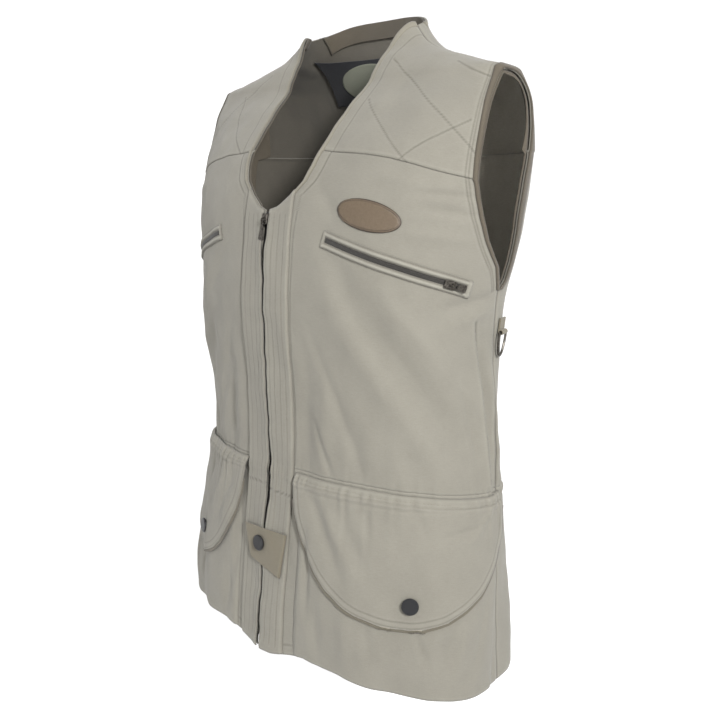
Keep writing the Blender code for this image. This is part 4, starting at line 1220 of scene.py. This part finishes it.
def pocket_pieces():
    for name, side in SIDES:
        pocket = f"pocket_{name}_cloth"
        panel(
            f"flap_under_{name}", partial(flap_under_surface, side=side), 80, 48, POCKET_STEP + BASE - 0.0014,
            material=UNDER, thick=0.0009, rests_on=pocket,
        )
        panel(
            pocket, partial(pocket_surface, side=side), 96, 72, POCKET_STEP + BASE,
            ((0.0024, 0.004), (0.0024, 0.004), ROLL, NONE),
            rests_on=f"skirt_front_{name}_cloth",
        )
        outline = [(row[1], row[0]) for row in FLAP_OUTLINE[1:]]
        outline += [(row[2], row[0]) for row in FLAP_OUTLINE[:0:-1]]
        outline = [(on_side(g, side), z) for g, z in outline]
        rows = [line(outline, side, away) for away in (0.0022, 0.0078)]
        across = [on_side(g, side) for g in np.linspace(0.044, 0.277, 24)]
        rows += [line([(g, float(waist_line(g)) - 0.0105) for g in across], side)]
        panel(
            f"flap_{name}_cloth", partial(flap_surface, side=side), 120, 80, POCKET_STEP + BASE,
            (ROLL, ROLL, ROLL, GROOVE), [(p, 0.00022, 0.0009) for p in rows],
            held="gathered", rests_on=pocket, relief=waist_gathers,
        )
        sew_all("stitches_front", f"flap_{name}_cloth", rows)


def back_pieces():
    low = yoke_back_surface(np.linspace(0.02, 0.98, 160), np.full(160, 0.02))[0]
    panel(
        "back_cloth", back_surface, 170, 110, BASE, (ROLL, ROLL, GROOVE, UNDERLAP),
        rests_on="yoke_back_cloth", relief=waist_gathers,
    )
    panel(
        "yoke_back_cloth", yoke_back_surface, 170, 60, BASE + 0.0006, ROUNDED, [(low, 0.00035, 0.001)],
        held="draped", rests_on="worn",
    )
    sew("stitches_back", "yoke_back_cloth", low)
    panel(
        "skirt_back_cloth", skirt_back_surface, 170, 76, BASE, (ROLL, ROLL, ROLL, UNDERLAP),
        held="gathered", rests_on="back_cloth", relief=waist_gathers,
    )


THIN = 0.0008
WELT_STEP = 0.0022
EVEN = (0, 0)
BAND_EDGES = ((0.0007, 0.0009), (0.0010, 0.0010))
strip_piece = partial(panel, held="stretched", dense=EVEN)
facing_piece = partial(strip_piece, material=FACING, slot="facing", thick=THIN)


def chest_pieces(name, side, front):
    """The two welts of a chest opening and its zip tape."""
    slot, tall = CHEST_SLOT / 2, CHEST_TALL / 2
    for part, low, high in (("upper", slot, tall), ("lower", -tall, -slot)):
        rows = []
        for up in (low + 0.0009, high - 0.0009):
            g, z = chest_place(np.linspace(0.01, 0.99, 80), up)
            rows.append(on_cloth(side * g, z))
        piece = f"welt_{part}_{name}"
        strip_piece(
            piece, partial(chest_strip, side=side, low=low, high=high), 80, 8, WELT_STEP + BASE,
            (ROLL, ROLL, (0.0012, 0.0012), ROLL), [(p, 0.0003, 0.0008) for p in rows], nodes=[f"welt_{name}"],
            rests_on=front, dense=(0.3, 0.1),
        )
        sew_all("stitches_front", piece, rows)
    strip_piece(
        f"chest_zip_{name}_tape",
        partial(chest_strip, side=side, low=-0.0022, high=0.0022, start=0.03, end=0.97), 90, 4,
        WELT_STEP + 0.0006, material=TAPE, slot="coil", nodes=[f"chest_zip_{name}"], thick=0.0006,
        rests_on=front, dense=USUAL,
    )


def edge_pieces(name, side, front):
    """The facings of the neck and armhole on one side, and the tape round the armhole."""
    facing_piece(
        f"neck_binding_{name}_cloth",
        partial(neck_strip, side=side, width=BINDING_WIDTH, low=-0.1845, start=-0.13), 8, 150, STEP_IN,
        rests_on=front,
    )
    facing_piece(
        f"armhole_facing_{name}_cloth",
        partial(arm_strip, side=side, widths=ARM_FACING, inset=EDGE, start=-RIM), 8, 250, STEP_IN_ROUND,
        rests_on="back_cloth",
    )
    rows = arm_tape_lines(side)
    strip_piece(
        f"armhole_tape_{name}", partial(arm_strip, side=side, widths=ARM_TAPE, inset=TAPE_OUT), 14, 250,
        BASE + 0.0016, ((0.0006, 0.0009), (0.0006, 0.0009), NONE, NONE), [(p, 0.0002, 0.0008) for p in rows],
        material=FACING, slot="facing", rests_on="back_cloth",
    )
    sew_all("stitches_tape", f"armhole_tape_{name}", rows)


def back_neck_pieces():
    """The band, facing and bare label at the back of the neck."""
    share = NECK_HALF_WIDTH / SHOULDER_HALF_WIDTH
    yoke = "yoke_back_cloth"
    strip_piece(
        "neck_band_back", partial(back_neck, half=0.49 * share, tall=BAND_WIDTH), 90, 6, BASE + 0.0012,
        (NONE, NONE, *BAND_EDGES[::-1]), material=(BINDING, FACING), rests_on=yoke,
    )
    facing_piece(
        "neck_facing_cloth", partial(back_neck, half=0.48 * share, tall=BACK_FACING_TALL), 70, 16, STEP_IN,
        rests_on=yoke, dense=USUAL,
    )
    strip_piece(
        "neck_label_cloth", label_surface, 60, 24, STEP_IN, material=NAVY, slot="label",
        thick=THIN, rests_on=yoke, dense=USUAL,
    )
    oval_place = (LABEL_MIDDLE - 0.004, -0.0440, 0.042, 0.0190, True)
    tag_place = (-0.0520, -0.0705, 0.0055, 0.0060, False)
    for name, place, columns, rows, lift, look, held in (
        ("label_oval", oval_place, 44, 22, 0.0010, OVAL, "stretched"),
        ("label_tag", tag_place, 8, 8, 0.0006, NAVY, "hung"),
    ):
        panel(
            name, lambda u, v, at=place: label_part(u, v, *at), columns, rows, STEP_IN - lift, material=look,
            slot="label", thick=0.0004, held=held, rests_on="neck_label_cloth", dense=EVEN,
        )


def trim_pieces():
    for name, side in SIDES:
        front = f"front_{name}_cloth"
        chest_pieces(name, side, front)
        edge_pieces(name, side, front)
        for end, a, b in (("inner", 0.000, 0.022), ("outer", 0.966, 1.004)):
            strip_piece(
                f"welt_{end}_end_{name}",
                partial(chest_strip, side=side, low=-CHEST_TALL / 2, high=CHEST_TALL / 2, start=a, end=b),
                8, 14, 0.0026 + BASE, ROUNDED, rests_on=front,
            )
        strip_piece(
            f"neck_band_{name}",
            partial(neck_strip, side=side, width=BAND_WIDTH, low=-0.1860, inset=0.0004, top=0.985), 8, 150,
            BASE + 0.0012, (*BAND_EDGES, NONE, NONE), material=(BINDING, FACING), rests_on=front,
        )
    back_neck_pieces()
    turn = np.linspace(0, 2 * pi, 121)
    rim = []
    for away in (0.0003, 0.0021):
        along = np.cos(turn) * (PATCH_LENGTH / 2 - away)
        rim.append(on_cloth(*patch_place(along, np.sin(turn) * (PATCH_HEIGHT / 2 - away))))
    panel(
        "leather_patch_oval", patch_surface, 84, 48, WELT_STEP + BASE, ROUNDED,
        [(rim[0], 0.0005, 0.0009), (rim[1], 0.0005, 0.0006)], material=(LEATHER, LEATHER_EDGE),
        slot="leather", nodes=["leather_patch"], held="laid", rests_on="front_left_cloth", dense=EVEN,
    )
    panel(
        "front_tab_cloth", tab_surface, 60, 38, TAB_STEP + BASE, (ROLL, ROLL, NONE, NONE), material=RIBBED,
        slot="webbing", held="laid", rests_on="placket_left_cloth",
    )
    panel(
        "zip_tape_cloth", lambda u, v: sheet_point(between(-0.012, 0.012, u), between(-0.6470, -0.1900, v)),
        10, 160, STEP_IN, material=TAPE, slot="coil", thick=THIN, held="stretched",
        rests_on="placket_left_cloth",
    )


TEETH_LOW = -0.6440
TEETH_HIGH = -0.1960
TOOTH_STEP = 0.00150
TOOTH_HALF = 0.0016
TOOTH_SHIFT = 0.0007     # teeth of the two rows reach past the middle by turns
TOOTH_RISE = 0.00048


def zip_teeth():
    """Two rows of teeth that meet in the middle of the zip."""
    verts = []
    faces = []
    for k, z in enumerate(np.arange(TEETH_LOW, TEETH_HIGH, TOOTH_STEP)):
        way = 1 if k % 2 else -1
        for x in (way * TOOTH_SHIFT - TOOTH_HALF, way * TOOTH_SHIFT + TOOTH_HALF):
            for up in (z - TOOTH_RISE, z + TOOTH_RISE):
                for out in (0.0002, 0.0021):
                    point = on_cloth(np.array(x), np.array(up))
                    verts.append((point[0], point[1] - out, point[2]))
        base = 8 * k
        for face in ((0, 1, 3, 2), (4, 6, 7, 5), (0, 4, 5, 1), (2, 3, 7, 6), (1, 5, 7, 3), (0, 2, 6, 4)):
            faces.append([base + n for n in face])
    mesh = bpy.data.meshes.new("zip_teeth")
    mesh.from_pydata(verts, [], faces)
    piece = place_piece("zip_teeth", mesh, [COIL], ["zip_coil"])
    soft = piece.modifiers.new("soft", "BEVEL")
    soft.width = 0.0002
    soft.segments = 1


front_pieces()
skirt_pieces()
placket_pieces()
pocket_pieces()
back_pieces()
trim_pieces()
zip_teeth()
finish_stitches()

for look, nodes in (
    (RIBBED, ("ring_loop",)),
    (SNAP, ("snap_flap_left", "snap_flap_right", "snap_tab")),
    (METAL, ("front_slider", "front_pull", "chest_slider_left", "chest_slider_right", "chest_pull_left",
             "chest_pull_right", "d_ring")),
):
    for node in nodes:
        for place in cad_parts[node].material_slots:
            place.material = look


# Stage, light and camera

FLOOR_LEVEL = -1.05
VEST_MIDDLE = Vector((0, 0, -0.32))
# where the photo's camera stood, fitted to the garment's main points
CAMERA_AZIMUTH = radians(46.8159)
CAMERA_AWAY = 1.0187
CAMERA_HEIGHT = -0.1733
CAMERA_YAW = CAMERA_AZIMUTH + radians(-0.7725)
CAMERA_PITCH = radians(-10.0603)
CAMERA_ROLL = radians(1.1988)
CAMERA_FOCAL = 919.822   # in the picture's dots
PICTURE_WIDTH = 720
SENSOR_WIDTH = 36


def make_stage():
    """A pale floor that curves up into a round wall, open above."""
    profile = [(0.0, 0.0), (1.5, 0.0), (2.2, 0.0)]
    profile += [(2.2 + 0.9 * sin(a), 0.9 - 0.9 * cos(a)) for a in np.linspace(0.1, pi / 2, 14)]
    profile += [(3.1, 1.8), (3.1, 2.6)]
    turns = 72
    angles = [2 * pi * k / turns for k in range(turns)]
    verts = [(r * cos(a), r * sin(a), z) for r, z in profile for a in angles]
    faces = [
        (i * turns + k, i * turns + (k + 1) % turns, (i + 1) * turns + (k + 1) % turns, (i + 1) * turns + k)
        for i in range(len(profile) - 1) for k in range(turns)
    ]
    mesh = bpy.data.meshes.new("floor")
    mesh.from_pydata(verts, [], faces)
    mesh.shade_smooth()
    floor = bpy.data.objects.new("floor", mesh)
    floor.location.z = FLOOR_LEVEL
    bpy.context.scene.collection.objects.link(floor)
    look = Nodes("floor")
    look.set("Base Color", (0.93, 0.93, 0.93, 1))
    look.set("Roughness", 0.95)
    look.set("Emission Color", (1, 1, 1, 1))
    look.set("Emission Strength", 0.11)
    mesh.materials.append(look.material)


def spot_light(name, azimuth, elevation, away, size, power):
    """A wide soft lamp that looks at the vest's middle."""
    a, e = radians(azimuth), radians(elevation)
    data = bpy.data.lights.new(name, "SPOT")
    data.shadow_soft_size = size
    data.spot_size = radians(44)
    data.spot_blend = 0.5
    data.energy = power
    lamp = bpy.data.objects.new(name, data)
    bpy.context.scene.collection.objects.link(lamp)
    way = Vector((sin(a) * cos(e), -cos(a) * cos(e), sin(e)))
    lamp.location = VEST_MIDDLE + way * away
    lamp.rotation_euler = way.to_track_quat("Z", "Y").to_euler()


def make_light():
    world = bpy.data.worlds.new("studio")
    world.use_nodes = True
    background = world.node_tree.nodes["Background"]
    background.inputs[0].default_value = (1, 1, 1, 1)
    background.inputs[1].default_value = 1.0
    bpy.context.scene.world = world
    spot_light("key", azimuth=64, elevation=22, away=2.3, size=0.14, power=285)
    spot_light("fill", azimuth=-6, elevation=-4, away=2.6, size=0.4, power=36)


def make_camera():
    level = Vector((-sin(CAMERA_YAW), cos(CAMERA_YAW), 0))
    ahead = level * cos(CAMERA_PITCH) + Vector((0, 0, 1)) * sin(CAMERA_PITCH)
    right = level.cross(Vector((0, 0, 1))).normalized()
    up = right.cross(ahead)
    across = right * cos(CAMERA_ROLL) + up * sin(CAMERA_ROLL)
    top = -right * sin(CAMERA_ROLL) + up * cos(CAMERA_ROLL)
    data = bpy.data.cameras.new("camera")
    data.lens = CAMERA_FOCAL * SENSOR_WIDTH / PICTURE_WIDTH
    data.sensor_width = SENSOR_WIDTH
    data.clip_start = 0.05
    camera = bpy.data.objects.new("camera", data)
    place = Matrix((across, top, -ahead)).transposed().to_4x4()
    place.translation = (sin(CAMERA_AZIMUTH) * CAMERA_AWAY, -cos(CAMERA_AZIMUTH) * CAMERA_AWAY, CAMERA_HEIGHT)
    camera.matrix_world = place
    bpy.context.scene.collection.objects.link(camera)
    bpy.context.scene.camera = camera


make_stage()
make_light()
make_camera()
bpy.context.scene.view_settings.view_transform = "Standard"
